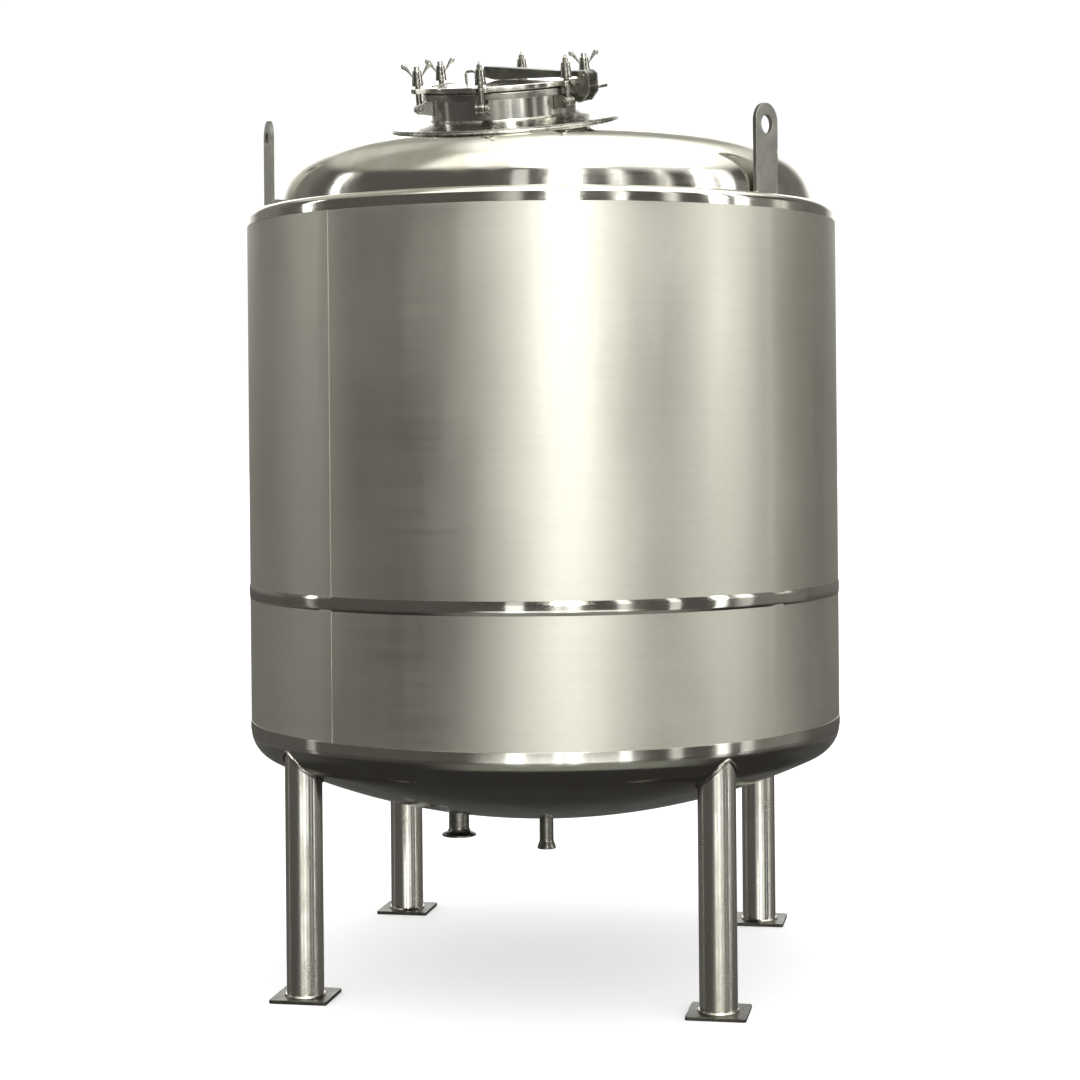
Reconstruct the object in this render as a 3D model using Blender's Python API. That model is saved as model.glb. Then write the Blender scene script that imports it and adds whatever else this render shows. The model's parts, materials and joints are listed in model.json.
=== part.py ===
"""Insulated stainless holding tank on four pipe legs, with a bolted manway on its top head.

Metres, +Z up. The origin is on the floor, on the axis of the outer cladding.
"""

from math import asin, cos, pi, radians, sin, sqrt

import bmesh
import bpy
from mathutils import Matrix, Vector

# Outer cladding
CLADDING_RADIUS = 0.850
SHEET = 0.002
CLADDING_BOTTOM = 0.718
WAIST_HEIGHT = 1.084
CLADDING_TOP = 2.124
SHEETS_ROUND = 4
SEAM_AZIMUTH = radians(-33.2)
WAIST_BAND_HEIGHT = 0.038
WAIST_BAND_PROUD = 0.003
WAIST_BAND_EDGE = 0.0012
WAIST_BAND_FLAT = 0.0152
SHOULDER_RISE = 0.042
SHOULDER_SHEET = 0.0025

# Inner vessel, whose axis sits a little to one side of the cladding's
VESSEL_RADIUS = 0.775
VESSEL_OFFSET = 0.0165
VESSEL_WALL = 0.004
CROWN_RADIUS = 1.950
KNUCKLE_RADIUS = 0.1525
TOP_KNUCKLE_START = 2.182
TOP_HEAD_FOOT = 2.100
LOWER_KNUCKLE_START = 0.770

# Clad bottom
BOTTOM_BAND_FOOT = 0.690
DISH_KNUCKLE = 0.085
DISH_CROWN = 1.850
DISH_SHEET = 0.003

# Legs and feet
LEG_AZIMUTHS = [radians(45 + 90 * turn) for turn in range(4)]
LEG_CIRCLE = 0.797
LEG_RADIUS = 0.0508
LEG_WALL = 0.004
LEG_BLANK_TOP = 0.750
FOOT_SIDE = 0.160
FOOT_THICKNESS = 0.010

# Lifting lugs
LUG_AZIMUTHS = [radians(degrees) for degrees in (84, 208, 330)]
LUG_CIRCLE = 0.799
LUG_WIDTH = 0.100
LUG_THICKNESS = 0.012
LUG_TOP = 2.412
LUG_HOLE_RADIUS = 0.025
LUG_HOLE_DROP = 0.058
LUG_WEB_DEPTH = 0.070
LUG_WEB_TOP = 2.192

# Manway, built in a frame of its own: origin on the dome, Z along the neck, X down the slope
MANWAY_DISTANCE = 0.402
MANWAY_AZIMUTH = radians(-95.6)
NECK_RADIUS = 0.203
NECK_WALL = 0.003
NECK_FOOT = -0.030
NECK_TOP = 0.072
PAD_RADIUS = 0.312
PAD_THICKNESS = 0.008
RIM_RADIUS = 0.222
RIM_FOOT = 0.054
GASKET_INWARD = 0.008
GASKET_OUTWARD = 0.014
GASKET_THICKNESS = 0.004
LID_RADIUS = 0.224
LID_EDGE = 0.014
LID_PLATE = 0.004
LID_CROWN_RISE = 0.009
LID_STEP = 0.012
LID_STEP_DROP = 0.004
LID_STEP_SLOPE = 0.006

# Swing bolts round the manway
BOLT_COUNT = 6
BOLT_PHASE = radians(3)
BOLT_CIRCLE = 0.238
PIVOT_HEIGHT = 0.034
PIN_RADIUS = 0.006
EYE_RADIUS = 0.014
EYE_WIDTH = 0.016
SHANK_RADIUS = 0.008
BOLT_TOP = 0.150
NUT_FOOT = 0.097
NUT_RADIUS = 0.0155
NUT_HEIGHT = 0.042
WING_FOOT = 0.024
WING_SPAN = 0.042
WING_RISE = 0.019
WING_THICKNESS = 0.006
WING_TURNS = [radians(degrees) for degrees in (13, 130, 163, 13, 43, 163)]
CHEEK_THICKNESS = 0.008
CHEEK_SPACE = 0.019
CHEEK_FOOT = 0.014
CHEEK_TIP = 0.013
CHEEK_BITE = 0.006
CHEEK_INSET = 0.002
PIN_END = 0.002
EAR_REACH = 0.255
EAR_WIDTH = 0.044
EAR_ROOT = 0.214
EAR_DROP = 0.001
SLOT_WIDTH = 0.019

# Lid hinge
HINGE_ANGLE = radians(80)
HINGE_RADIUS = 0.258
HINGE_HEIGHT = 0.096
HINGE_PIN_RADIUS = 0.007
HINGE_PLATE = 0.008
HINGE_SPACE = 0.046
HINGE_TIP = 0.016
HINGE_FOOT = 0.030
HINGE_FOOT_REACH = 0.004
HINGE_TOP_GAP = 0.002
SHELF_FOOT = 0.064
SHELF_TOP = 0.072
SHELF_START = 0.240
PIN_HEAD = 0.004
ARM_WIDTH = 0.040
ARM_START = -0.045
ARM_END = 0.232
ARM_FOOT = 0.0965
ARM_TOP = 0.135
HANDLE_AT = -0.095
HANDLE_WIRE = 0.004
HANDLE_BEND = 0.010
HANDLE_HALF = 0.016
HANDLE_RISE = 0.028
STOP_REACH = 0.305
ARM_EYE = 0.014
ARM_TAIL_FOOT = 0.106
ARM_TAIL_REACH = 0.030
ARM_SLOPE_END = 0.176
ARM_SLOPE_TOP = 0.1145

# Bottom nozzles: place on the plan, neck, flange and foot
DRAIN_RADIUS = 0.0205
DRAIN_FLANGE_RADIUS = 0.027
DRAIN_FOOT = 0.317
OUTLET_AT = (-0.250, -0.048)
OUTLET_RADIUS = 0.0295
OUTLET_FLANGE_RADIUS = 0.050
OUTLET_FOOT = 0.357
NOZZLE_WALL = 0.003
NOZZLE_TOP = 0.530
FLANGE_EDGE = 0.006
FLANGE_SLOPE_TOP = 0.014
FLANGE_NECK_TOP = 0.020
FLANGE_FILLET = 0.002

# Drawing
GAP = 0.0003
MERGE = 0.00001
TURN = 2 * pi
SEGMENTS = 60
MANWAY_SEGMENTS = 40
PIPE_SEGMENTS = 24
PIN_SEGMENTS = 16
SMALL_SEGMENTS = 12
CUT = 0.1

STEEL_SATIN = ((0.60, 0.59, 0.56), 0.32)
STEEL_POLISHED = ((0.72, 0.71, 0.69), 0.08)
STEEL_PLAIN = ((0.55, 0.54, 0.52), 0.25)
RUBBER_DARK = ((0.04, 0.04, 0.04), 0.60)


def clear_scene():
    for item in list(bpy.data.objects):
        bpy.data.objects.remove(item, do_unlink=True)


def steel(name, look):
    """A metal with the colour and roughness seen in the photo."""
    colour, roughness = look
    material = bpy.data.materials.new(name)
    material.use_nodes = True
    shader = material.node_tree.nodes["Principled BSDF"]
    shader.inputs["Base Color"].default_value = (*colour, 1)
    shader.inputs["Roughness"].default_value = roughness
    shader.inputs["Metallic"].default_value = 1
    return material


def rubber(name):
    colour, roughness = RUBBER_DARK
    material = bpy.data.materials.new(name)
    material.use_nodes = True
    shader = material.node_tree.nodes["Principled BSDF"]
    shader.inputs["Base Color"].default_value = (*colour, 1)
    shader.inputs["Roughness"].default_value = roughness
    return material


def add_object(name, mesh, material, place=Matrix.Identity(4)):
    item = bpy.data.objects.new(name, mesh)
    bpy.context.collection.objects.link(item)
    item.matrix_world = place
    mesh.materials.clear()
    mesh.materials.append(material)
    return item


def finish_mesh(name, shape, smooth_angle=35):
    """Closes a bmesh into a mesh that faces outward, with its round sides shaded smooth."""
    bmesh.ops.remove_doubles(shape, verts=shape.verts, dist=MERGE)
    bmesh.ops.recalc_face_normals(shape, faces=shape.faces)
    mesh = bpy.data.meshes.new(name)
    shape.to_mesh(mesh)
    shape.free()
    mesh.polygons.foreach_set("use_smooth", [True] * len(mesh.polygons))
    mesh.set_sharp_from_angle(angle=radians(smooth_angle))
    return mesh


def revolved(name, outline, start=0.0, sweep=TURN, steps=SEGMENTS):
    """Turns a closed outline of (radius, height) points about Z; a part turn gets flat ends."""
    shape = bmesh.new()
    points = [shape.verts.new((radius, 0, height)) for radius, height in outline]
    edges = [shape.edges.new((points[i - 1], points[i])) for i in range(len(points))]
    bmesh.ops.rotate(shape, verts=points, matrix=Matrix.Rotation(start, 3, "Z"))
    bmesh.ops.spin(shape, geom=points + edges, axis=(0, 0, 1), cent=(0, 0, 0), angle=sweep, steps=steps)
    bmesh.ops.remove_doubles(shape, verts=shape.verts, dist=MERGE)
    thin = [face for face in shape.faces if face.calc_area() < 1e-12]
    bmesh.ops.delete(shape, geom=thin, context="FACES")
    loose = [edge for edge in shape.edges if edge.is_wire]
    bmesh.ops.delete(shape, geom=loose, context="EDGES")
    open_edges = [edge for edge in shape.edges if edge.is_boundary]
    if open_edges:
        bmesh.ops.holes_fill(shape, edges=open_edges, sides=0)
    return finish_mesh(name, shape)


def extruded(name, outline, depth, place=Matrix.Identity(4)):
    """A flat outline of (x, y) points thickened by depth, centred on its own plane."""
    shape = bmesh.new()
    points = [shape.verts.new((x, y, -depth / 2)) for x, y in outline]
    face = shape.faces.new(points)
    grown = bmesh.ops.extrude_face_region(shape, geom=[face])
    moved = [item for item in grown["geom"] if isinstance(item, bmesh.types.BMVert)]
    bmesh.ops.translate(shape, verts=moved, vec=(0, 0, depth))
    bmesh.ops.transform(shape, verts=shape.verts, matrix=place)
    return finish_mesh(name, shape)


def box(name, low, high):
    size = [b - a for a, b in zip(low, high)]
    centre = [(a + b) / 2 for a, b in zip(low, high)]
    shape = bmesh.new()
    bmesh.ops.create_cube(shape, size=1)
    bmesh.ops.scale(shape, vec=size, verts=shape.verts)
    bmesh.ops.translate(shape, vec=centre, verts=shape.verts)
    return finish_mesh(name, shape)


def rod(name, radius, low, high, place=Matrix.Identity(4), segments=SMALL_SEGMENTS):
    """A cylinder along its own Z from low to high."""
    shape = bmesh.new()
    bmesh.ops.create_cone(
        shape, cap_ends=True, segments=segments, radius1=radius, radius2=radius, depth=high - low
    )
    bmesh.ops.translate(shape, vec=(0, 0, (low + high) / 2), verts=shape.verts)
    bmesh.ops.transform(shape, verts=shape.verts, matrix=place)
    return finish_mesh(name, shape)


def combine(item, other_mesh, operation):
    """Joins or cuts with another mesh that shares the item's frame."""
    helper = bpy.data.objects.new(item.name + "_" + operation.lower(), other_mesh)
    bpy.context.collection.objects.link(helper)
    helper.matrix_world = item.matrix_world
    bpy.context.view_layer.update()
    modifier = item.modifiers.new(operation, "BOOLEAN")
    modifier.operation = operation
    modifier.solver = "EXACT"
    modifier.object = helper
    depsgraph = bpy.context.evaluated_depsgraph_get()
    result = bpy.data.meshes.new_from_object(item.evaluated_get(depsgraph))
    item.modifiers.remove(modifier)
    item.data = result
    bpy.data.objects.remove(helper, do_unlink=True)


def arc(centre, radius, start, end, steps):
    """Points on a round corner; the angles are measured from +radius towards +height."""
    turns = [start + (end - start) * i / steps for i in range(steps + 1)]
    return [(centre[0] + radius * cos(turn), centre[1] + radius * sin(turn)) for turn in turns]


def dished_curve(radius, start, knuckle, crown, upward, knuckle_steps=4, crown_steps=6):
    """The side view of a dished end from its straight flange to its pole."""
    sign = 1 if upward else -1
    knuckle_at = radius - knuckle
    crown_drop = sqrt((crown - knuckle) ** 2 - knuckle_at**2)
    join = asin(knuckle_at / (crown - knuckle))
    corner = arc((knuckle_at, start), knuckle, 0, sign * (pi / 2 - join), knuckle_steps)
    middle = start - sign * crown_drop
    lean = [join * (1 - i / crown_steps) for i in range(1, crown_steps + 1)]
    return corner + [(crown * sin(turn), middle + sign * crown * cos(turn)) for turn in lean]


def dished_shell(radius, start, knuckle, crown, wall, foot, upward, steps=(4, 6)):
    """A closed outline for a dished end of even thickness with a straight flange down to foot."""
    outer = dished_curve(radius, start, knuckle, crown, upward, *steps)
    inner = dished_curve(radius - wall, start, knuckle - wall, crown - wall, upward, *steps)
    return [(radius, foot)] + outer + inner[::-1] + [(radius - wall, foot)]


def crown_pole():
    """Height of the top head's pole."""
    return dished_curve(VESSEL_RADIUS, TOP_KNUCKLE_START, KNUCKLE_RADIUS, CROWN_RADIUS, True)[-1][1]


def vessel_frame():
    return Matrix.Translation((VESSEL_OFFSET, 0, 0))


def manway_frame():
    """Stands on the dome, square to it, with X down the slope."""
    lean = asin(MANWAY_DISTANCE / CROWN_RADIUS)
    height = crown_pole() - CROWN_RADIUS * (1 - cos(lean))
    turned = Matrix.Rotation(MANWAY_AZIMUTH, 4, "Z") @ Matrix.Rotation(lean, 4, "Y")
    base = turned.to_3x3() @ Vector((0, 0, 1))
    flat = Vector((base.x, base.y, 0)).normalized() * MANWAY_DISTANCE
    return Matrix.Translation((VESSEL_OFFSET + flat.x, flat.y, height)) @ turned


def dome_height(radius):
    """Height of the dome in the manway's frame, at a radius from the neck's axis."""
    return sqrt(CROWN_RADIUS**2 - radius**2) - CROWN_RADIUS


def build_cladding():
    """Two courses of four bent sheets, with a butt seam between neighbours."""
    courses = (
        ("lower_cladding", CLADDING_BOTTOM + GAP, WAIST_HEIGHT - GAP / 2),
        ("upper_cladding", WAIST_HEIGHT + GAP / 2, CLADDING_TOP),
    )
    seam_gap = GAP / CLADDING_RADIUS
    sweep = TURN / SHEETS_ROUND
    for course, foot, top in courses:
        inside = CLADDING_RADIUS - SHEET
        outline = [(inside, foot), (CLADDING_RADIUS, foot), (CLADDING_RADIUS, top), (inside, top)]
        for number in range(SHEETS_ROUND):
            name = f"{course}_{number + 1}"
            start = SEAM_AZIMUTH + sweep * number + seam_gap / 2
            mesh = revolved(name, outline, start, sweep - seam_gap, SEGMENTS // SHEETS_ROUND)
            add_object(name, mesh, steel(name + "_steel", STEEL_SATIN))


def build_waist_band():
    inside = CLADDING_RADIUS + GAP
    half = WAIST_BAND_HEIGHT / 2
    outline = [
        (inside, WAIST_HEIGHT - half),
        (inside + WAIST_BAND_EDGE, WAIST_HEIGHT - half),
        (inside + WAIST_BAND_PROUD, WAIST_HEIGHT - WAIST_BAND_FLAT / 2),
        (inside + WAIST_BAND_PROUD, WAIST_HEIGHT + WAIST_BAND_FLAT / 2),
        (inside + WAIST_BAND_EDGE, WAIST_HEIGHT + half),
        (inside, WAIST_HEIGHT + half),
    ]
    mesh = revolved("waist_band", outline, SEAM_AZIMUTH)
    add_object("waist_band", mesh, steel("waist_band_steel", STEEL_POLISHED))


def build_shoulder_ring():
    """A quarter-round ring that closes the gap from the cladding to the top head."""
    foot = CLADDING_TOP + GAP
    top = CLADDING_TOP + SHOULDER_RISE
    bend = (CLADDING_RADIUS - SHOULDER_RISE, foot)
    hole = VESSEL_RADIUS - VESSEL_OFFSET - SHOULDER_RISE
    outer = arc(bend, SHOULDER_RISE - GAP, 0, pi / 2, 5)
    inner = arc(bend, SHOULDER_RISE - GAP - SHOULDER_SHEET, 0, pi / 2, 5)
    outer = [(radius + GAP, height) for radius, height in outer]
    inner = [(radius + GAP, height) for radius, height in inner]
    outline = outer + [(hole, top), (hole, top - SHOULDER_SHEET)] + inner[::-1]
    mesh = revolved("shoulder_ring", outline, SEAM_AZIMUTH)
    ring = add_object("shoulder_ring", mesh, steel("shoulder_ring_steel", STEEL_POLISHED))
    cutter = rod("head_hole", VESSEL_RADIUS + 2 * GAP, foot, top + CUT, vessel_frame(), 2 * SEGMENTS)
    combine(ring, cutter, "DIFFERENCE")


def build_bottom():
    """The straight band and the dish that clad the underside, with holes for the two nozzles."""
    inside = CLADDING_RADIUS - DISH_SHEET
    outline = [
        (inside, BOTTOM_BAND_FOOT),
        (CLADDING_RADIUS, BOTTOM_BAND_FOOT),
        (CLADDING_RADIUS, CLADDING_BOTTOM),
        (inside, CLADDING_BOTTOM),
    ]
    mesh = revolved("bottom_band", outline, SEAM_AZIMUTH)
    add_object("bottom_band", mesh, steel("bottom_band_steel", STEEL_POLISHED))

    foot = BOTTOM_BAND_FOOT - GAP
    outline = dished_shell(CLADDING_RADIUS, foot, DISH_KNUCKLE, DISH_CROWN, DISH_SHEET, foot, False)
    mesh = revolved("bottom_dish", outline[1:-1], SEAM_AZIMUTH)
    dish = add_object("bottom_dish", mesh, steel("bottom_dish_steel", STEEL_POLISHED))
    for x, y, radius in nozzle_places():
        at = Matrix.Translation((x, y, 0))
        hole = rod("nozzle_hole", radius + GAP, OUTLET_FOOT, CLADDING_BOTTOM, at, PIPE_SEGMENTS)
        combine(dish, hole, "DIFFERENCE")


def nozzle_places():
    return [(0, 0, DRAIN_RADIUS), (*OUTLET_AT, OUTLET_RADIUS)]


def build_vessel():
    """The inner vessel: top head, plain shell and lower head."""
    outline = dished_shell(
        VESSEL_RADIUS, TOP_KNUCKLE_START, KNUCKLE_RADIUS, CROWN_RADIUS, VESSEL_WALL, TOP_HEAD_FOOT, True
    )
    mesh = revolved("top_head", outline, SEAM_AZIMUTH)
    head = add_object("top_head", mesh, steel("top_head_steel", STEEL_POLISHED), vessel_frame())
    bore = vessel_frame().inverted() @ manway_frame()
    hole = rod("manway_hole", NECK_RADIUS + GAP, -CUT, CUT, bore, 2 * MANWAY_SEGMENTS)
    combine(head, hole, "DIFFERENCE")

    inside = VESSEL_RADIUS - VESSEL_WALL
    foot = LOWER_KNUCKLE_START + GAP
    top = TOP_HEAD_FOOT - GAP
    outline = [(inside, foot), (VESSEL_RADIUS, foot), (VESSEL_RADIUS, top), (inside, top)]
    mesh = revolved("vessel_shell", outline, SEAM_AZIMUTH)
    add_object("vessel_shell", mesh, steel("vessel_shell_steel", STEEL_PLAIN), vessel_frame())

    outline = dished_shell(
        VESSEL_RADIUS, LOWER_KNUCKLE_START, KNUCKLE_RADIUS, CROWN_RADIUS, VESSEL_WALL,
        LOWER_KNUCKLE_START, False, (2, 4),
    )
    mesh = revolved("vessel_lower_head", outline[1:-1], SEAM_AZIMUTH)
    place = vessel_frame()
    lower = add_object("vessel_lower_head", mesh, steel("vessel_lower_head_steel", STEEL_PLAIN), place)
    for x, y, radius in nozzle_places():
        at = Matrix.Translation((x - VESSEL_OFFSET, y, 0))
        hole = rod("nozzle_hole", radius + GAP, OUTLET_FOOT, CLADDING_BOTTOM, at, PIPE_SEGMENTS)
        combine(lower, hole, "DIFFERENCE")


def build_nozzle(name, at, neck, flange, foot):
    """A bored stub from the inner vessel down through the dish, with a flange at its foot."""
    bore = neck - NOZZLE_WALL
    outline = [
        (bore, foot),
        (flange, foot),
        (flange, foot + FLANGE_EDGE),
        (neck + FLANGE_FILLET, foot + FLANGE_SLOPE_TOP),
        (neck, foot + FLANGE_NECK_TOP),
        (neck, NOZZLE_TOP),
        (bore, NOZZLE_TOP),
    ]
    mesh = revolved(name, outline, steps=PIPE_SEGMENTS)
    place = Matrix.Translation((*at, 0))
    add_object(name, mesh, steel(name + "_steel", STEEL_PLAIN), place)


def build_legs():
    """Pipe legs coped to the dish, each on a square plate."""
    solid = [(CLADDING_RADIUS + GAP, BOTTOM_BAND_FOOT + CUT)]
    solid += dished_curve(
        CLADDING_RADIUS + GAP, BOTTOM_BAND_FOOT - GAP, DISH_KNUCKLE + GAP, DISH_CROWN + GAP, False
    )
    solid += [(0, BOTTOM_BAND_FOOT + CUT)]
    foot = FOOT_THICKNESS + GAP
    for number, azimuth in enumerate(LEG_AZIMUTHS):
        name = f"leg_{number + 1}"
        at = Matrix.Translation((LEG_CIRCLE * cos(azimuth), LEG_CIRCLE * sin(azimuth), 0))
        bore = LEG_RADIUS - LEG_WALL
        outline = [
            (bore, foot),
            (LEG_RADIUS, foot),
            (LEG_RADIUS, LEG_BLANK_TOP),
            (bore, LEG_BLANK_TOP),
        ]
        mesh = revolved(name, outline, steps=PIPE_SEGMENTS)
        leg = add_object(name, mesh, steel(name + "_steel", STEEL_POLISHED), at)
        cutter = revolved("dish_outside", solid, SEAM_AZIMUTH)
        cutter.transform(at.inverted())
        combine(leg, cutter, "DIFFERENCE")

        name = f"foot_plate_{number + 1}"
        half = FOOT_SIDE / 2
        mesh = box(name, (-half, -half, 0), (half, half, FOOT_THICKNESS))
        add_object(name, mesh, steel(name + "_steel", STEEL_PLAIN), at)


def build_lifting_lugs():
    """Upright plates on the shoulder, round-topped, each tied to the head by a short web."""
    foot = CLADDING_TOP + SHOULDER_RISE + GAP
    half = LUG_WIDTH / 2
    for number, azimuth in enumerate(LUG_AZIMUTHS):
        name = f"lifting_lug_{number + 1}"
        turned = Matrix.Rotation(azimuth, 4, "Z") @ Matrix.Translation((LUG_CIRCLE, 0, 0))
        upright = Matrix.Rotation(pi / 2, 4, "Z") @ Matrix.Rotation(pi / 2, 4, "X")
        crown = arc((0, LUG_TOP - half), half, 0, pi, 12)
        outline = [(-half, foot), (half, foot)] + crown
        mesh = extruded(name, outline, LUG_THICKNESS, upright)
        lug = add_object(name, mesh, steel(name + "_steel", STEEL_PLAIN), turned)
        hole_height = LUG_TOP - LUG_HOLE_DROP
        across = Matrix.Translation((0, 0, hole_height)) @ Matrix.Rotation(pi / 2, 4, "Y")
        hole = rod("lug_hole", LUG_HOLE_RADIUS, -CUT, CUT, across, PIPE_SEGMENTS)
        combine(lug, hole, "DIFFERENCE")
        side = LUG_THICKNESS / 2
        web = box("lug_web", (-LUG_WEB_DEPTH, -side, foot), (0, side, LUG_WEB_TOP))
        combine(lug, web, "UNION")
        clear = turned.inverted() @ vessel_frame()
        radius = VESSEL_RADIUS + 2 * GAP
        head = rod("head_outside", radius, CLADDING_TOP, LUG_WEB_TOP + CUT, clear, 2 * SEGMENTS)
        combine(lug, head, "DIFFERENCE")


def build_manway_pad(frame):
    inside = NECK_RADIUS + GAP
    steps = [inside + (PAD_RADIUS - inside) * i / 3 for i in range(4)]
    under = [(radius, dome_height(radius) + GAP) for radius in steps]
    over = [(radius, height + PAD_THICKNESS) for radius, height in under]
    mesh = revolved("manway_pad", under + over[::-1], steps=MANWAY_SEGMENTS)
    add_object("manway_pad", mesh, steel("manway_pad_steel", STEEL_PLAIN), frame)


def build_manway_neck(frame):
    bore = NECK_RADIUS - NECK_WALL
    outline = [(bore, NECK_FOOT), (NECK_RADIUS, NECK_FOOT), (NECK_RADIUS, NECK_TOP), (bore, NECK_TOP)]
    mesh = revolved("manway_neck", outline, steps=MANWAY_SEGMENTS)
    add_object("manway_neck", mesh, steel("manway_neck_steel", STEEL_POLISHED), frame)


def bolt_angles():
    return [BOLT_PHASE + TURN * number / BOLT_COUNT for number in range(BOLT_COUNT)]


def build_manway_rim(frame):
    """The ring round the neck's top, with a pair of drilled cheeks under it for each bolt."""
    inside = NECK_RADIUS + GAP
    outline = [(inside, RIM_FOOT), (RIM_RADIUS, RIM_FOOT), (RIM_RADIUS, NECK_TOP), (inside, NECK_TOP)]
    mesh = revolved("manway_rim", outline, steps=MANWAY_SEGMENTS)
    rim = add_object("manway_rim", mesh, steel("manway_rim_steel", STEEL_PLAIN), frame)
    near = NECK_RADIUS + 2 * GAP
    top = RIM_FOOT + CHEEK_BITE
    outer_top = (RIM_RADIUS - CHEEK_INSET, top)
    for angle in bolt_angles():
        turned = Matrix.Rotation(angle, 4, "Z")
        nose = arc((BOLT_CIRCLE, PIVOT_HEIGHT), CHEEK_TIP, -pi / 2, pi / 3, 6)
        outline = [(near, CHEEK_FOOT)] + nose + [outer_top, (near, top)]
        for side in (-1, 1):
            offset = side * (CHEEK_SPACE + CHEEK_THICKNESS) / 2
            upright = turned @ Matrix.Translation((0, offset, 0)) @ Matrix.Rotation(pi / 2, 4, "X")
            combine(rim, extruded("cheek", outline, CHEEK_THICKNESS, upright), "UNION")
        pivot = Matrix.Translation((BOLT_CIRCLE, 0, PIVOT_HEIGHT))
        across = turned @ pivot @ Matrix.Rotation(pi / 2, 4, "X")
        hole = rod("pin_hole", PIN_RADIUS + GAP, -CHEEK_SPACE, CHEEK_SPACE, across)
        combine(rim, hole, "DIFFERENCE")


def build_lid_gasket(frame):
    foot = NECK_TOP + GAP
    top = foot + GASKET_THICKNESS
    low, high = NECK_RADIUS - GASKET_INWARD, NECK_RADIUS + GASKET_OUTWARD
    outline = [(low, foot), (high, foot), (high, top), (low, top)]
    mesh = revolved("lid_gasket", outline, steps=MANWAY_SEGMENTS)
    add_object("lid_gasket", mesh, rubber("lid_gasket_rubber"), frame)


def lid_foot():
    return NECK_TOP + 2 * GAP + GASKET_THICKNESS


def lid_crown():
    """The lid's crown from its step to its middle, as (radius, height) points."""
    step = NECK_RADIUS - LID_STEP
    low = lid_foot() + LID_EDGE - LID_STEP_DROP
    return [(step * (1 - i / 4), low + LID_CROWN_RISE * sin(pi / 2 * i / 4)) for i in range(5)]


def crown_height(radius):
    points = lid_crown()
    for (outer, low), (inner, high) in zip(points, points[1:]):
        if inner <= radius <= outer:
            return low + (high - low) * (outer - radius) / (outer - inner)
    raise ValueError("the radius is not on the lid's crown")


def build_manway_lid(frame):
    """A slightly domed lid with a thick edge and a slotted ear at each bolt."""
    foot = lid_foot()
    top = foot + LID_EDGE
    step = NECK_RADIUS - LID_STEP
    crown = lid_crown()
    under = [(radius, height - LID_PLATE) for radius, height in crown]
    outline = [(LID_RADIUS, foot), (LID_RADIUS, top), (step + LID_STEP_SLOPE, top)] + crown
    outline += under[::-1] + [(step, foot)]
    mesh = revolved("manway_lid", outline, steps=MANWAY_SEGMENTS)
    lid = add_object("manway_lid", mesh, steel("manway_lid_steel", STEEL_POLISHED), frame)
    for angle in bolt_angles():
        turned = Matrix.Rotation(angle, 4, "Z")
        ear = box("ear", (EAR_ROOT, -EAR_WIDTH / 2, foot), (EAR_REACH, EAR_WIDTH / 2, top - EAR_DROP))
        ear.transform(turned)
        combine(lid, ear, "UNION")
        end = arc((BOLT_CIRCLE, 0), SLOT_WIDTH / 2, pi / 2, 3 * pi / 2, 8)
        outside = BOLT_CIRCLE + EAR_WIDTH
        outline = end + [(outside, -SLOT_WIDTH / 2), (outside, SLOT_WIDTH / 2)]
        slot = extruded("slot", outline, CUT, turned @ Matrix.Translation((0, 0, foot)))
        combine(lid, slot, "DIFFERENCE")


def wing_outline():
    """One half of a wing nut's wings, in the plane of the wings: (sideways, up)."""
    up = NUT_FOOT + NUT_HEIGHT
    shares = (
        (0.72, 0.15),
        (0.94, 0.35),
        (1.00, 0.70),
        (0.94, 1.00),
        (0.76, 0.98),
        (0.62, 0.62),
    )
    tip = [(WING_SPAN * across, up + WING_RISE * rise) for across, rise in shares]
    root = [(0, NUT_FOOT + WING_FOOT), (NUT_RADIUS, NUT_FOOT + WING_FOOT)]
    neck = [(NUT_RADIUS, up - WING_FOOT / 2), (0, up - WING_FOOT / 2)]
    return root + tip + neck


def build_swing_bolts(frame):
    """Eye bolts with wing nuts. Each one's origin is on its pivot, which is its joint's axis."""
    for number, angle in enumerate(bolt_angles()):
        name = f"swing_bolt_{number + 1}"
        pivot = Matrix.Rotation(angle, 4, "Z") @ Matrix.Translation((BOLT_CIRCLE, 0, PIVOT_HEIGHT))
        down = Matrix.Translation((0, 0, -PIVOT_HEIGHT))
        across = Matrix.Rotation(pi / 2, 4, "X")
        reach = CHEEK_SPACE / 2 + CHEEK_THICKNESS + PIN_END
        mesh = rod(name, PIN_RADIUS, -reach, reach, across)
        bolt = add_object(name, mesh, steel(name + "_steel", STEEL_PLAIN), frame @ pivot)
        combine(bolt, rod("eye", EYE_RADIUS, -EYE_WIDTH / 2, EYE_WIDTH / 2, across), "UNION")
        combine(bolt, rod("shank", SHANK_RADIUS, 0, BOLT_TOP - PIVOT_HEIGHT), "UNION")
        hub = rod("hub", NUT_RADIUS, NUT_FOOT, NUT_FOOT + NUT_HEIGHT, down)
        combine(bolt, hub, "UNION")
        turn = Matrix.Rotation(WING_TURNS[number], 4, "Z")
        for side in (0, pi):
            upright = down @ turn @ Matrix.Rotation(side, 4, "Z") @ across
            combine(bolt, extruded("wing", wing_outline(), WING_THICKNESS, upright), "UNION")


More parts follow.
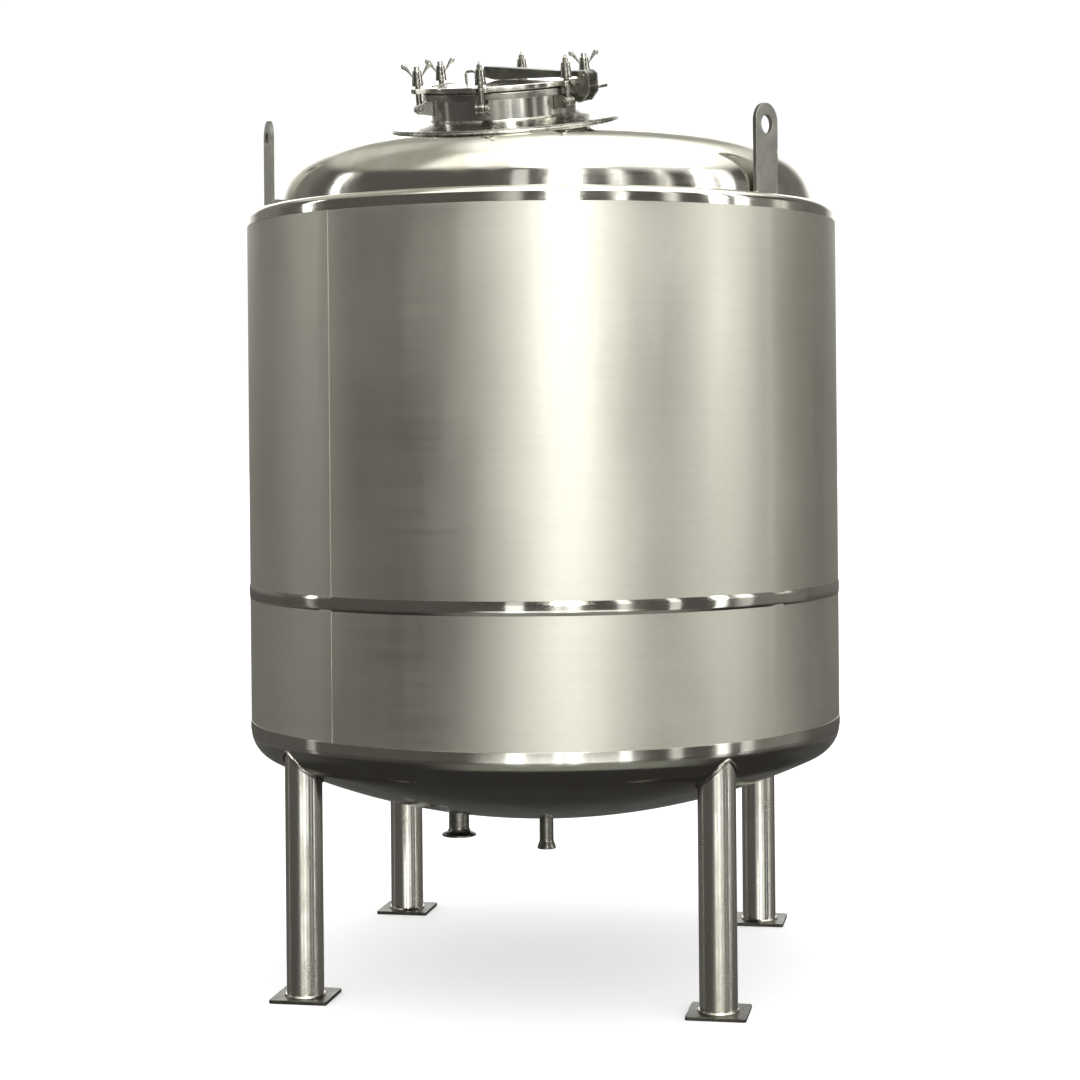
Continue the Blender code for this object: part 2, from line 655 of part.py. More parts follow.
def build_lid_hinge(frame):
    """Two upright plates on the neck, a pin, and the arm that carries the lid."""
    turned = frame @ Matrix.Rotation(HINGE_ANGLE, 4, "Z")
    near = NECK_RADIUS + 2 * GAP
    nose = arc((HINGE_RADIUS, HINGE_HEIGHT), HINGE_TIP, 0, pi, 8)
    below_rim = RIM_FOOT - HINGE_TOP_GAP
    outline = [
        (near, HINGE_FOOT),
        (HINGE_RADIUS - HINGE_FOOT_REACH, HINGE_FOOT),
        (HINGE_RADIUS + HINGE_TIP, RIM_FOOT),
    ]
    outline += nose + [(HINGE_RADIUS - HINGE_TIP, below_rim), (near, below_rim)]
    shift = (HINGE_SPACE + HINGE_PLATE) / 2
    upright = Matrix.Translation((0, -shift, 0)) @ Matrix.Rotation(pi / 2, 4, "X")
    mesh = extruded("hinge_bracket", outline, HINGE_PLATE, upright)
    bracket = add_object("hinge_bracket", mesh, steel("hinge_bracket_steel", STEEL_PLAIN), turned)
    upright = Matrix.Translation((0, shift, 0)) @ Matrix.Rotation(pi / 2, 4, "X")
    combine(bracket, extruded("far_plate", outline, HINGE_PLATE, upright), "UNION")
    shelf = box("shelf", (SHELF_START, -shift, SHELF_FOOT), (STOP_REACH, shift, SHELF_TOP))
    combine(bracket, shelf, "UNION")
    across = Matrix.Translation((HINGE_RADIUS, 0, HINGE_HEIGHT)) @ Matrix.Rotation(pi / 2, 4, "X")
    hole = rod("hinge_hole", HINGE_PIN_RADIUS + GAP, -CUT, CUT, across, PIN_SEGMENTS)
    combine(bracket, hole, "DIFFERENCE")

    reach = HINGE_SPACE / 2 + HINGE_PLATE + PIN_HEAD
    mesh = rod("hinge_pin", HINGE_PIN_RADIUS, -reach, reach, across, PIN_SEGMENTS)
    add_object("hinge_pin", mesh, steel("hinge_pin_steel", STEEL_PLAIN), turned)

    eye = arc((HINGE_RADIUS, HINGE_HEIGHT), ARM_EYE, -pi / 2, pi / 2, 8)
    outline = [
        (ARM_START, ARM_TAIL_FOOT),
        (ARM_START + ARM_TAIL_REACH, ARM_FOOT),
        (ARM_END, ARM_FOOT),
    ]
    outline += eye
    outline += [(ARM_SLOPE_END, ARM_SLOPE_TOP), (ARM_START, ARM_TOP)]
    mesh = extruded("lid_arm", outline, ARM_WIDTH, Matrix.Rotation(pi / 2, 4, "X"))
    arm = add_object("lid_arm", mesh, steel("lid_arm_steel", STEEL_PLAIN), turned)
    hole = rod("arm_hole", HINGE_PIN_RADIUS + GAP, -CUT, CUT, across, PIN_SEGMENTS)
    combine(arm, hole, "DIFFERENCE")


def build_lid_handle(frame):
    """A small bail on the lid's crown, in line with the arm."""
    turned = frame @ Matrix.Rotation(HINGE_ANGLE, 4, "Z")
    near, far = HANDLE_AT + HANDLE_HALF, HANDLE_AT - HANDLE_HALF
    height = crown_height(-near) + HANDLE_RISE - HANDLE_BEND
    route = [(near, crown_height(-near) + GAP)]
    route += arc((near - HANDLE_BEND, height), HANDLE_BEND, 0, pi / 2, 4)
    route += arc((far + HANDLE_BEND, height), HANDLE_BEND, pi / 2, pi, 4)
    route += [(far, crown_height(-far) + GAP)]
    curve = bpy.data.curves.new("handle_route", "CURVE")
    curve.dimensions = "3D"
    curve.bevel_depth = HANDLE_WIRE
    curve.bevel_resolution = 1
    curve.use_fill_caps = True
    spline = curve.splines.new("POLY")
    spline.points.add(len(route) - 1)
    for point, (x, z) in zip(spline.points, route):
        point.co = (x, 0, z, 1)
    helper = bpy.data.objects.new("handle_route", curve)
    bpy.context.collection.objects.link(helper)
    bpy.context.view_layer.update()
    mesh = bpy.data.meshes.new_from_object(helper)
    bpy.data.objects.remove(helper, do_unlink=True)
    shape = bmesh.new()
    shape.from_mesh(mesh)
    mesh = finish_mesh("lid_handle", shape)
    add_object("lid_handle", mesh, steel("lid_handle_steel", STEEL_PLAIN), turned)


def build_manway():
    frame = manway_frame()
    build_manway_pad(frame)
    build_manway_neck(frame)
    build_manway_rim(frame)
    build_lid_gasket(frame)
    build_manway_lid(frame)
    build_lid_hinge(frame)
    build_lid_handle(frame)
    build_swing_bolts(frame)


def main():
    clear_scene()
    build_cladding()
    build_waist_band()
    build_shoulder_ring()
    build_bottom()
    build_vessel()
    build_nozzle("drain_nozzle", (0, 0), DRAIN_RADIUS, DRAIN_FLANGE_RADIUS, DRAIN_FOOT)
    build_nozzle("outlet_nozzle", OUTLET_AT, OUTLET_RADIUS, OUTLET_FLANGE_RADIUS, OUTLET_FOOT)
    build_legs()
    build_lifting_lugs()
    build_manway()


main()
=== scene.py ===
"""Looks of the insulated holding tank: sheets, dished ends, pipe legs, bolted manway and studio."""

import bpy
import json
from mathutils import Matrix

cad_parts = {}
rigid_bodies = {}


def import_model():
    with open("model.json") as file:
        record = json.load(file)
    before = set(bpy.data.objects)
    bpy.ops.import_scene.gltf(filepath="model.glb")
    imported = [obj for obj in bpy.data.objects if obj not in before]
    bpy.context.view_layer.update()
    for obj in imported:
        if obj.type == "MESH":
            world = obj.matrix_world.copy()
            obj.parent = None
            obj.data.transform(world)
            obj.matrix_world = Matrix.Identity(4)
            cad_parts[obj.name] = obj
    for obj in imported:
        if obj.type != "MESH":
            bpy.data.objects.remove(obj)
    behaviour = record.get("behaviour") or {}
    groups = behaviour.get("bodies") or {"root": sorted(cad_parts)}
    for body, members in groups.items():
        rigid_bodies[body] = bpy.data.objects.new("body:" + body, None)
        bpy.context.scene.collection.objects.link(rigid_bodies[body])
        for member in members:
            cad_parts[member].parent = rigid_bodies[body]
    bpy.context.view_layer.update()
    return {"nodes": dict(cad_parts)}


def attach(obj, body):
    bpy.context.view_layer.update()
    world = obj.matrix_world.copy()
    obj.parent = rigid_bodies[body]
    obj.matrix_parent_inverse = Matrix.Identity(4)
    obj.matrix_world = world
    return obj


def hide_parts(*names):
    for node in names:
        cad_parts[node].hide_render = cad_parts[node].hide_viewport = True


bl_info = {
    "name": "Insulated holding tank",
    "version": (1, 0, 0),
    "blender": (4, 5, 0),
    "location": "3D View > Sidebar > Tank",
    "description": "Dresses the packed holding tank in its steel finishes and sets up its studio",
    "category": "Object",
}

import json
from math import asin, atan2, ceil, cos, pi, radians, sin, sqrt, tan

import bmesh
import bpy
from bpy.props import FloatProperty, FloatVectorProperty, IntProperty, PointerProperty
from bpy.types import Operator, Panel, PropertyGroup
from mathutils import Matrix, Vector, noise
from mathutils.geometry import tessellate_polygon

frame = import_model()

TANK = "tank"
TURN = 2 * pi
CLEAR = 0.0003

# Turns a flat outline up on its edge
ON_EDGE = Matrix.Rotation(pi / 2, 4, "X")

# Steps round edges, bends and turned pieces
EDGE_STEPS = 3
BEND_STEPS = 14
CROWN_STEPS = 40
WELD_STEPS = 240
MANWAY_STEPS = 128
LID_STEPS = 160
PIPE_STEPS = 72

# Degrees from which an edge stays sharp, and how much large faces weigh in the shading
SHARP_ANGLE = 38
FACE_WEIGHT = 80

# Outer cladding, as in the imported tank
CLADDING_RADIUS = 0.850
CLADDING_BOTTOM = 0.718
WAIST_HEIGHT = 1.084
CLADDING_TOP = 2.124
SHEETS_ROUND = 4
SEAM_AZIMUTH = radians(-33.2)
WAIST_BAND_HEIGHT = 0.038
WAIST_BAND_PROUD = 0.0018
WAIST_BAND_BACK = 0.0002
SHOULDER_RISE = 0.042
SHOULDER_SHEET = 0.0025
SHOULDER_WELD = 0.0028
SHEET_DEPTH = 0.0012
SHEET_EDGE = 0.0006
SHEET_STEPS = 118
LOWER_ROWS = 22
UPPER_ROWS = 50
SHEET_WAVE_SIZE = 0.21
JOGGLE = 0.022

# Inner vessel
VESSEL_RADIUS = 0.775
VESSEL_OFFSET = 0.0165
VESSEL_WALL = 0.004
CROWN_RADIUS = 1.950
KNUCKLE_RADIUS = 0.1525
TOP_KNUCKLE_START = 2.182
TOP_HEAD_FOOT = 2.100

# The size of the dished ends' wander, which fades out towards the pole and the rim
TOP_WAVE_SIZE = 0.16
DISH_WAVE_SIZE = 0.18
POLE_CALM = 0.3
RIM_CALM = 0.02

# Clad bottom
BOTTOM_BAND_FOOT = 0.690
BOTTOM_BAND_PROUD = 0.0012
BOTTOM_BAND_EDGE = 0.0008
DISH_KNUCKLE = 0.085
DISH_CROWN = 1.850
DISH_SHEET = 0.003

# Legs and feet
LEG_AZIMUTHS = [radians(45 + 90 * turn) for turn in range(4)]
LEG_CIRCLE = 0.797
LEG_RADIUS = 0.0508
LEG_WALL = 0.004
LEG_EDGE = 0.0006
LEG_STRAIGHT = 0.44
LEG_RINGS = 8
LEG_WELD_OUT = 0.0005
LEG_WELD_DROP = 0.001
LEG_WELD_RIPPLE = (0.10, 0.0045)
FOOT_WELD_SHARE = 1.1
FOOT_SIDE = 0.160
FOOT_CORNER = 0.007
FOOT_EDGE = 0.0015
FOOT_THICKNESS = 0.010

# Lifting lugs
LUG_AZIMUTHS = [radians(turn) for turn in (84, 208, 330)]
LUG_CIRCLE = 0.799
LUG_WIDTH = 0.100
LUG_THICKNESS = 0.012
LUG_TOP = 2.412
LUG_HOLE_RADIUS = 0.025
LUG_HOLE_DROP = 0.058
LUG_WEB_TOP = 2.192
LUG_EDGE = 0.0016
LUG_WEB_EDGE = 0.001
LUG_WELD_CORNER = 0.002
LUG_WELD_STEP = 0.002
# Lug faces that face outward less than this get the darker steel, which is painted shade
LUG_SHADE_FACING = 0.7

# Manway, in its own frame: origin on the dome, Z along the neck, X down the slope
MANWAY_DISTANCE = 0.402
MANWAY_AZIMUTH = radians(-95.6)
HEAD_CUT = 0.15
NECK_RADIUS = 0.203
NECK_WALL = 0.003
NECK_FOOT = -0.030
NECK_TOP = 0.072
PAD_RADIUS = 0.312
PAD_THICKNESS = 0.008
PAD_EDGE = 0.0015
PAD_WELD = 0.0038
NECK_WELD = 0.0042
MANWAY_WELD_OUT = 0.0006
MANWAY_WELD_RIPPLE = (0.15, 0.006)
RIM_RADIUS = 0.222
RIM_FOOT = 0.054
GASKET_THICKNESS = 0.004
GASKET_INWARD = 0.008
GASKET_OUTWARD = 0.014
LID_FOOT = NECK_TOP + GASKET_THICKNESS + 2 * CLEAR
LID_RADIUS = 0.224
LID_EDGE = 0.014
LID_PLATE = 0.004
LID_CROWN_RISE = 0.009
LID_STEP_RADIUS = NECK_RADIUS - 0.012
LID_STEP_DROP = 0.004
LID_CROWN_START = LID_STEP_RADIUS - 0.012
LID_LIP = 0.006
LID_RING_END = LID_STEP_RADIUS - 0.02
LID_RING_DROP = 0.0032
LID_RING_LIFT = 0.001

# Swing bolts
BOLT_COUNT = 6
BOLT_PHASE = radians(3)
BOLT_CIRCLE = 0.238
PIVOT_HEIGHT = 0.034
PIN_RADIUS = 0.006
EYE_RADIUS = 0.014
EYE_WIDTH = 0.016
SHANK_RADIUS = 0.008
BOLT_TOP = 0.150
NUT_FOOT = 0.097
NUT_RADIUS = 0.0155
NUT_HEIGHT = 0.042
WING_FOOT = 0.024
WING_SPAN = 0.042
WING_RISE = 0.019
WING_THICKNESS = 0.006
THREAD_START = 0.048
THREAD_END = 0.0015
THREAD_DEPTH = 0.0007
WING_TURNS = [radians(turn) for turn in (13, 130, 163, 13, 43, 163)]
CHEEK_THICKNESS = 0.008
CHEEK_SPACE = 0.019
CHEEK_FOOT = 0.014
CHEEK_NOSE = 0.013
EAR_REACH = 0.255
EAR_WIDTH = 0.044
SLOT_WIDTH = 0.019
EAR_ROOT = LID_RADIUS - 0.010
EAR_CORNER = 0.008
EAR_STEP = 0.001
CHEEK_ROOT_RISE = 0.004
CHEEK_INSET = 0.002
PIN_END = 0.002

# Lid hinge
HINGE_ANGLE = radians(80)
HINGE_RADIUS = 0.258
HINGE_HEIGHT = 0.096
HINGE_PIN_RADIUS = 0.007
HINGE_PLATE = 0.008
HINGE_SPACE = 0.046
HINGE_NOSE = 0.016
HINGE_FOOT = 0.030
SHELF_FOOT = 0.064
SHELF_TOP = 0.072
SHELF_START = 0.240
ARM_WIDTH = 0.040
ARM_START = -0.045
ARM_END = 0.232
ARM_FOOT = 0.0965
ARM_TOP = 0.135
ARM_TAIL_FOOT = 0.106
ARM_TAIL_REACH = 0.030
ARM_SLOPE_END = 0.176
ARM_SLOPE_TOP = 0.1145
HANDLE_AT = -0.095
HANDLE_WIRE = 0.004
HANDLE_RISE = 0.028
HANDLE_BEND = 0.010
HANDLE_HALF = 0.016
STOP_REACH = 0.305
PIN_HEAD = 0.004
ARM_EYE = 0.014
RIM_GAP = 0.002

# Bottom nozzles: place, neck radius, flange radius, foot
NOZZLES = {
    "drain_nozzle": ((0.0, 0.0), 0.0205, 0.027, 0.317),
    "outlet_nozzle": ((-0.250, -0.048), 0.0295, 0.050, 0.357),
}
NOZZLE_WALL = 0.003
NOZZLE_TOP = 0.530
NOZZLE_WELD = 0.0035
DISH_CUT = (0.30, 0.60)
FERRULE_EDGE = 0.005
FERRULE_SLOPE = (0.004, 0.0125)
FERRULE_TOP = 0.022

# Camera, placed by the photograph
CAMERA_AZIMUTH = radians(10.8)
CAMERA_DISTANCE = 6.673
CAMERA_HEIGHT = 1.5644
CAMERA_ROLL = radians(0.52)
CAMERA_LENS = 76.3
CAMERA_SHIFT = (-0.0026, -0.111)
SENSOR_WIDTH = 36
CAMERA_REACH = (0.1, 200)


class TankSizes(PropertyGroup):
    """Fine sizes of the dressed tank."""

    lap_width: FloatProperty(
        name="Seam lap", description="Width of the lap at each upright seam",
        default=0.038, min=0, unit="LENGTH", subtype="DISTANCE",
    )
    lap_step: FloatProperty(
        name="Lap step", description="How far the lapping edge stands out",
        default=0.0008, min=0, unit="LENGTH", subtype="DISTANCE",
    )
    shoulder_lip: FloatProperty(
        name="Shoulder lip", description="Upright part of the shoulder ring below its bend",
        default=0.020, min=0, max=0.03, unit="LENGTH", subtype="DISTANCE",
    )
    sheet_wave: FloatProperty(
        name="Sheet wave", description="How far the thin sheets wander from true",
        default=0.0004, min=0, unit="LENGTH", subtype="DISTANCE",
    )
    head_wave: FloatProperty(
        name="Head wave", description="How far the polished dished ends wander from true",
        default=0.0005, min=0, unit="LENGTH", subtype="DISTANCE",
    )
    weld_radius: FloatProperty(
        name="Weld bead", description="Radius of the fillet welds",
        default=0.005, min=0.001, unit="LENGTH", subtype="DISTANCE",
    )
    thread_pitch: FloatProperty(
        name="Thread pitch", description="Pitch of the swing bolts' threads",
        default=0.002, min=0.001, unit="LENGTH", subtype="DISTANCE",
    )
    round_steps: IntProperty(
        name="Round steps", description="Segments round the cladding and the heads",
        default=288, min=48,
    )


class TankFinishes(PropertyGroup):
    """Colours and roughness of the tank's finishes."""

    satin_colour: FloatVectorProperty(
        name="Satin steel", description="Colour of the brushed cladding sheets",
        subtype="COLOR", size=3, min=0, max=1, default=(0.61, 0.60, 0.535),
    )
    polished_colour: FloatVectorProperty(
        name="Polished steel", description="Colour of the polished bands, heads and legs",
        subtype="COLOR", size=3, min=0, max=1, default=(0.70, 0.69, 0.63),
    )
    plain_colour: FloatVectorProperty(
        name="Plain steel", description="Colour of lugs, pads, brackets and bolts",
        subtype="COLOR", size=3, min=0, max=1, default=(0.44, 0.435, 0.40),
    )
    # The foot plates' near-black colour is a painted dark reflection: it stands in for the dark
    # floor that the plates reflect
    foot_reflection_colour: FloatVectorProperty(
        name="Foot plates", description="Colour of the dull plates under the legs",
        subtype="COLOR", size=3, min=0, max=1, default=(0.12, 0.116, 0.10),
    )
    rubber_colour: FloatVectorProperty(
        name="Gasket", description="Colour of the lid's gasket",
        subtype="COLOR", size=3, min=0, max=1, default=(0.035, 0.035, 0.034),
    )
    satin_roughness: FloatProperty(
        name="Satin roughness", description="Roughness of the brushed sheets",
        subtype="FACTOR", min=0, max=1, default=0.46,
    )
    polished_roughness: FloatProperty(
        name="Polished roughness", description="Roughness of the polished parts",
        subtype="FACTOR", min=0, max=1, default=0.09,
    )


class TankStudio(PropertyGroup):
    """Floor and light."""

    floor_colour: FloatVectorProperty(
        name="Floor", description="Colour of the studio floor",
        subtype="COLOR", size=3, min=0, max=1, default=(0.90, 0.90, 0.90),
    )
    backdrop_light: FloatProperty(
        name="Backdrop light", description="Brightness of the pale backdrop",
        default=1.05, min=0,
    )
    window_light: FloatProperty(
        name="Window light", description="Strength of the narrow softboxes that the steel reflects",
        default=1.0, min=0,
    )
    panel_light: FloatProperty(
        name="Panel light", description="Strength of the broad soft panels",
        default=1.0, min=0,
    )
    floor_glow: FloatProperty(
        name="Floor glow", description="Light that the high-key floor gives off by itself",
        default=0.40, min=0,
    )


def settings():
    scene = bpy.context.scene
    return scene.tank_sizes, scene.tank_finishes, scene.tank_studio


# Outlines


def arc(centre, radius, start, end, steps):
    turns = [start + (end - start) * i / steps for i in range(steps + 1)]
    return [(centre[0] + radius * cos(turn), centre[1] + radius * sin(turn)) for turn in turns]


def full_turn(steps):
    return [TURN * i / steps for i in range(steps)]


def smooth_step(share):
    share = min(1, max(0, share))
    return share * share * (3 - 2 * share)


def rounded(corners, steps=EDGE_STEPS):
    """A closed outline from (x, y, radius) corners, each rounded by its radius."""
    points = []
    for i, (x, y, radius) in enumerate(corners):
        here = Vector((x, y))
        before = Vector(corners[i - 1][:2]) - here
        after = Vector(corners[(i + 1) % len(corners)][:2]) - here
        if radius <= 0:
            points.append((x, y))
            continue
        half = before.angle(after) / 2
        reach = min(radius / tan(half), 0.48 * before.length, 0.48 * after.length)
        radius = reach * tan(half)
        middle = (before.normalized() + after.normalized()).normalized()
        centre = here + middle * (radius / sin(half))
        start = here + before.normalized() * reach - centre
        end = here + after.normalized() * reach - centre
        first = atan2(start.y, start.x)
        sweep = (atan2(end.y, end.x) - first + pi) % TURN - pi
        points += arc(centre, radius, first, first + sweep, steps)
    return points


def rectangle(across, along, corner):
    sides = ((-across, -along), (across, -along), (across, along), (-across, along))
    return [(x, y, corner) for x, y in sides]


def dished_curve(radius, start, knuckle, crown, upward, knuckle_steps, crown_steps):
    """The side view of a dished end from its straight flange to its pole."""
    sign = 1 if upward else -1
    knuckle_at = radius - knuckle
    crown_drop = sqrt((crown - knuckle) ** 2 - knuckle_at**2)
    join = asin(knuckle_at / (crown - knuckle))
    corner = arc((knuckle_at, start), knuckle, 0, sign * (pi / 2 - join), knuckle_steps)
    middle = start - sign * crown_drop
    lean = [join * (1 - i / crown_steps) for i in range(1, crown_steps + 1)]
    return corner + [(crown * sin(turn), middle + sign * crown * cos(turn)) for turn in lean]


def height_on(curve, radius):
    """Height of a (radius, height) curve that runs inward, at a radius."""
    for (outer, high), (inner, low) in zip(curve, curve[1:]):
        if inner <= radius <= outer and outer > inner:
            share = (outer - radius) / (outer - inner)
            return high + (low - high) * share
    return curve[-1][1] if radius < curve[-1][0] else curve[0][1]


# Frames


def vessel_frame():
    return Matrix.Translation((VESSEL_OFFSET, 0, 0))


def manway_frame():
    lean = asin(MANWAY_DISTANCE / CROWN_RADIUS)
    head = dished_curve(VESSEL_RADIUS, TOP_KNUCKLE_START, KNUCKLE_RADIUS, CROWN_RADIUS, True, 8, 8)
    height = head[-1][1] - CROWN_RADIUS * (1 - cos(lean))
    turned = about_z(MANWAY_AZIMUTH) @ Matrix.Rotation(lean, 4, "Y")
    flat = Vector((cos(MANWAY_AZIMUTH), sin(MANWAY_AZIMUTH), 0)) * MANWAY_DISTANCE
    return Matrix.Translation((VESSEL_OFFSET + flat.x, flat.y, height)) @ turned


def dome_height(radius):
    """Height of the dome in the manway's frame, at a radius from the neck's axis."""
    return sqrt(CROWN_RADIUS**2 - radius**2) - CROWN_RADIUS


def about_z(angle):
    return Matrix.Rotation(angle, 4, "Z")


# Shapes


class Shape:
    """Gathers the bodies of one piece in a bmesh."""

    def __init__(self):
        self.mesh = bmesh.new()

    def grid(self, rows, wrap_rows=False, wrap_columns=False):
        """Faces between rows of points; a point used twice makes one vertex."""
        known = {}
        made = []
        for row in rows:
            line = []
            for point in row:
                key = tuple(round(value, 7) for value in point)
                if key not in known:
                    known[key] = self.mesh.verts.new(point)
                line.append(known[key])
            made.append(line)
        row_count = len(made) if wrap_rows else len(made) - 1
        column_count = len(made[0]) if wrap_columns else len(made[0]) - 1
        for i in range(row_count):
            low, high = made[i], made[(i + 1) % len(made)]
            for j in range(column_count):
                k = (j + 1) % len(low)
                corners = []
                for corner in (low[j], low[k], high[k], high[j]):
                    if corner not in corners:
                        corners.append(corner)
                if len(corners) > 2:
                    self.mesh.faces.new(corners)
        return made

    def lathe(self, outline, steps=64, place=Matrix.Identity(4), start=0.0, sweep=TURN, wave=None):
        """A closed (radius, height) outline turned about Z; wave gives each point a new radius."""
        whole = abs(sweep - TURN) < 1e-6
        turns = [start + sweep * i / steps for i in range(steps if whole else steps + 1)]
        rows = []
        for radius, height in outline:
            row = []
            for turn in turns:
                out = wave(radius, height, turn) if wave and radius > 1e-6 else radius
                row.append(place @ Vector((out * cos(turn), out * sin(turn), height)))
            rows.append(row)
        made = self.grid(rows, wrap_rows=True, wrap_columns=whole)
        if not whole:
            self.mesh.faces.new([row[0] for row in made])
            self.mesh.faces.new([row[-1] for row in reversed(made)])

    def plate(self, outlines, thickness, edge, place=Matrix.Identity(4)):
        """A flat plate with rounded edges; the first outline is its outside, the rest are holes."""
        rims = []
        for number, outline in enumerate(outlines):
            area = sum(
                outline[i - 1][0] * outline[i][1] - outline[i][0] * outline[i - 1][1]
                for i in range(len(outline))
            )
            if (area > 0) != (number == 0):
                outline = outline[::-1]
            rims.append([Vector(point) for point in outline])
        half = thickness / 2
        rings = []
        for i in range(EDGE_STEPS + 1):
            turn = pi / 2 * i / EDGE_STEPS
            rings.append((edge * (1 - sin(turn)), -half + edge * (1 - cos(turn))))
        rings += [(inset, -height) for inset, height in reversed(rings)]
        caps = ([], [])
        for rim in rims:
            inward = []
            for i, point in enumerate(rim):
                before = (point - rim[i - 1]).normalized()
                after = (rim[(i + 1) % len(rim)] - point).normalized()
                normal = Vector((-before.y - after.y, before.x + after.x)).normalized()
                stretch = max(0.35, normal.dot(Vector((-before.y, before.x))))
                inward.append(normal / stretch)
            rows = []
            for inset, height in rings:
                flat = [point + lean * inset for point, lean in zip(rim, inward)]
                rows.append([place @ Vector((point.x, point.y, height)) for point in flat])
            made = self.grid(rows, wrap_columns=True)
            flat = [point + lean * edge for point, lean in zip(rim, inward)]
            caps[0].append((made[0], flat))
            caps[1].append((made[-1], flat))
        for loops in caps:
            vertices = [vertex for loop, _ in loops for vertex in loop]
            polygons = [[Vector((point.x, point.y, 0)) for point in flat] for _, flat in loops]
            for corners in tessellate_polygon(polygons):
                self.mesh.faces.new([vertices[corner] for corner in corners])

    def rod(self, radius, low, high, place=Matrix.Identity(4), edge=0.001, steps=24):
        """A round bar along Z with rounded ends."""
        corners = [(0, low, 0), (radius, low, edge), (radius, high, edge), (0, high, 0)]
        self.lathe(rounded(corners), steps, place)

    def bead(self, route, normals, radius, ripple=0.0, ripple_length=1.0, closed=True, around=7):
        """A weld bead along a route, with the small ridges that the torch leaves."""
        rows = []
        travelled = 0.0
        count = len(route)
        for i, point in enumerate(route):
            ahead = route[(i + 1) % count] if closed or i < count - 1 else point
            behind = route[i - 1] if closed or i > 0 else point
            along = (ahead - behind).normalized()
            travelled += (point - route[i - 1]).length if i else 0
            up = (normals[i] - along * normals[i].dot(along)).normalized()
            side = along.cross(up)
            swell = radius * (1 + ripple * abs(sin(pi * travelled / ripple_length)))
            turns = full_turn(around)
            rows.append([point + (side * cos(turn) + up * sin(turn)) * swell for turn in turns])
        made = self.grid(rows, wrap_rows=closed, wrap_columns=True)
        if not closed:
            self.mesh.faces.new(made[0])
            self.mesh.faces.new(made[-1])

    def done(self, name, material, stands_for=(), body=TANK, flat_caps=True):
        """Makes the piece, gives it its finish and ties it to its body."""
        mesh = bpy.data.meshes.new(name)
        bmesh.ops.recalc_face_normals(self.mesh, faces=self.mesh.faces)
        self.mesh.to_mesh(mesh)
        self.mesh.free()
        mesh.polygons.foreach_set("use_smooth", [True] * len(mesh.polygons))
        mesh.set_sharp_from_angle(angle=radians(SHARP_ANGLE))
        mesh.materials.append(material)
        piece = bpy.data.objects.new(name, mesh)
        bpy.context.scene.collection.objects.link(piece)
        if flat_caps:
            weighted = piece.modifiers.new("Flat faces", "WEIGHTED_NORMAL")
            weighted.keep_sharp = True
            weighted.weight = FACE_WEIGHT
        if stands_for:
            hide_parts(*stands_for)
        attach(piece, body)
        return piece


# Finishes


class Nodes:
    """Adds nodes to a node tree and joins them."""

    def __init__(self, tree):
        self.nodes = tree.nodes
        self.links = tree.links

    def add(self, kind, **values):
        node = self.nodes.new(kind)
        for key, value in values.items():
            setattr(node, key, value)
        return node

    def feed(self, socket, value):
        """Joins an output to a socket, or sets the socket's own value."""
        if isinstance(value, bpy.types.NodeSocket):
            self.links.new(value, socket)
        else:
            socket.default_value = value

    def maths(self, operation, *values):
        node = self.add("ShaderNodeMath", operation=operation)
        for socket, value in zip(node.inputs, values):
            self.feed(socket, value)
        return node.outputs[0]

    def vectors(self, operation, *values, result="Vector"):
        node = self.add("ShaderNodeVectorMath", operation=operation)
        for socket, value in zip(node.inputs, values):
            self.feed(socket, value)
        return node.outputs[result]

    def ranged(self, source, low, high, new_low=0.0, new_high=1.0, way="LINEAR"):
        node = self.add("ShaderNodeMapRange", interpolation_type=way)
        sockets = ("Value", "From Min", "From Max", "To Min", "To Max")
        for socket, value in zip(sockets, (source, low, high, new_low, new_high)):
            self.feed(node.inputs[socket], value)
        return node.outputs[0]


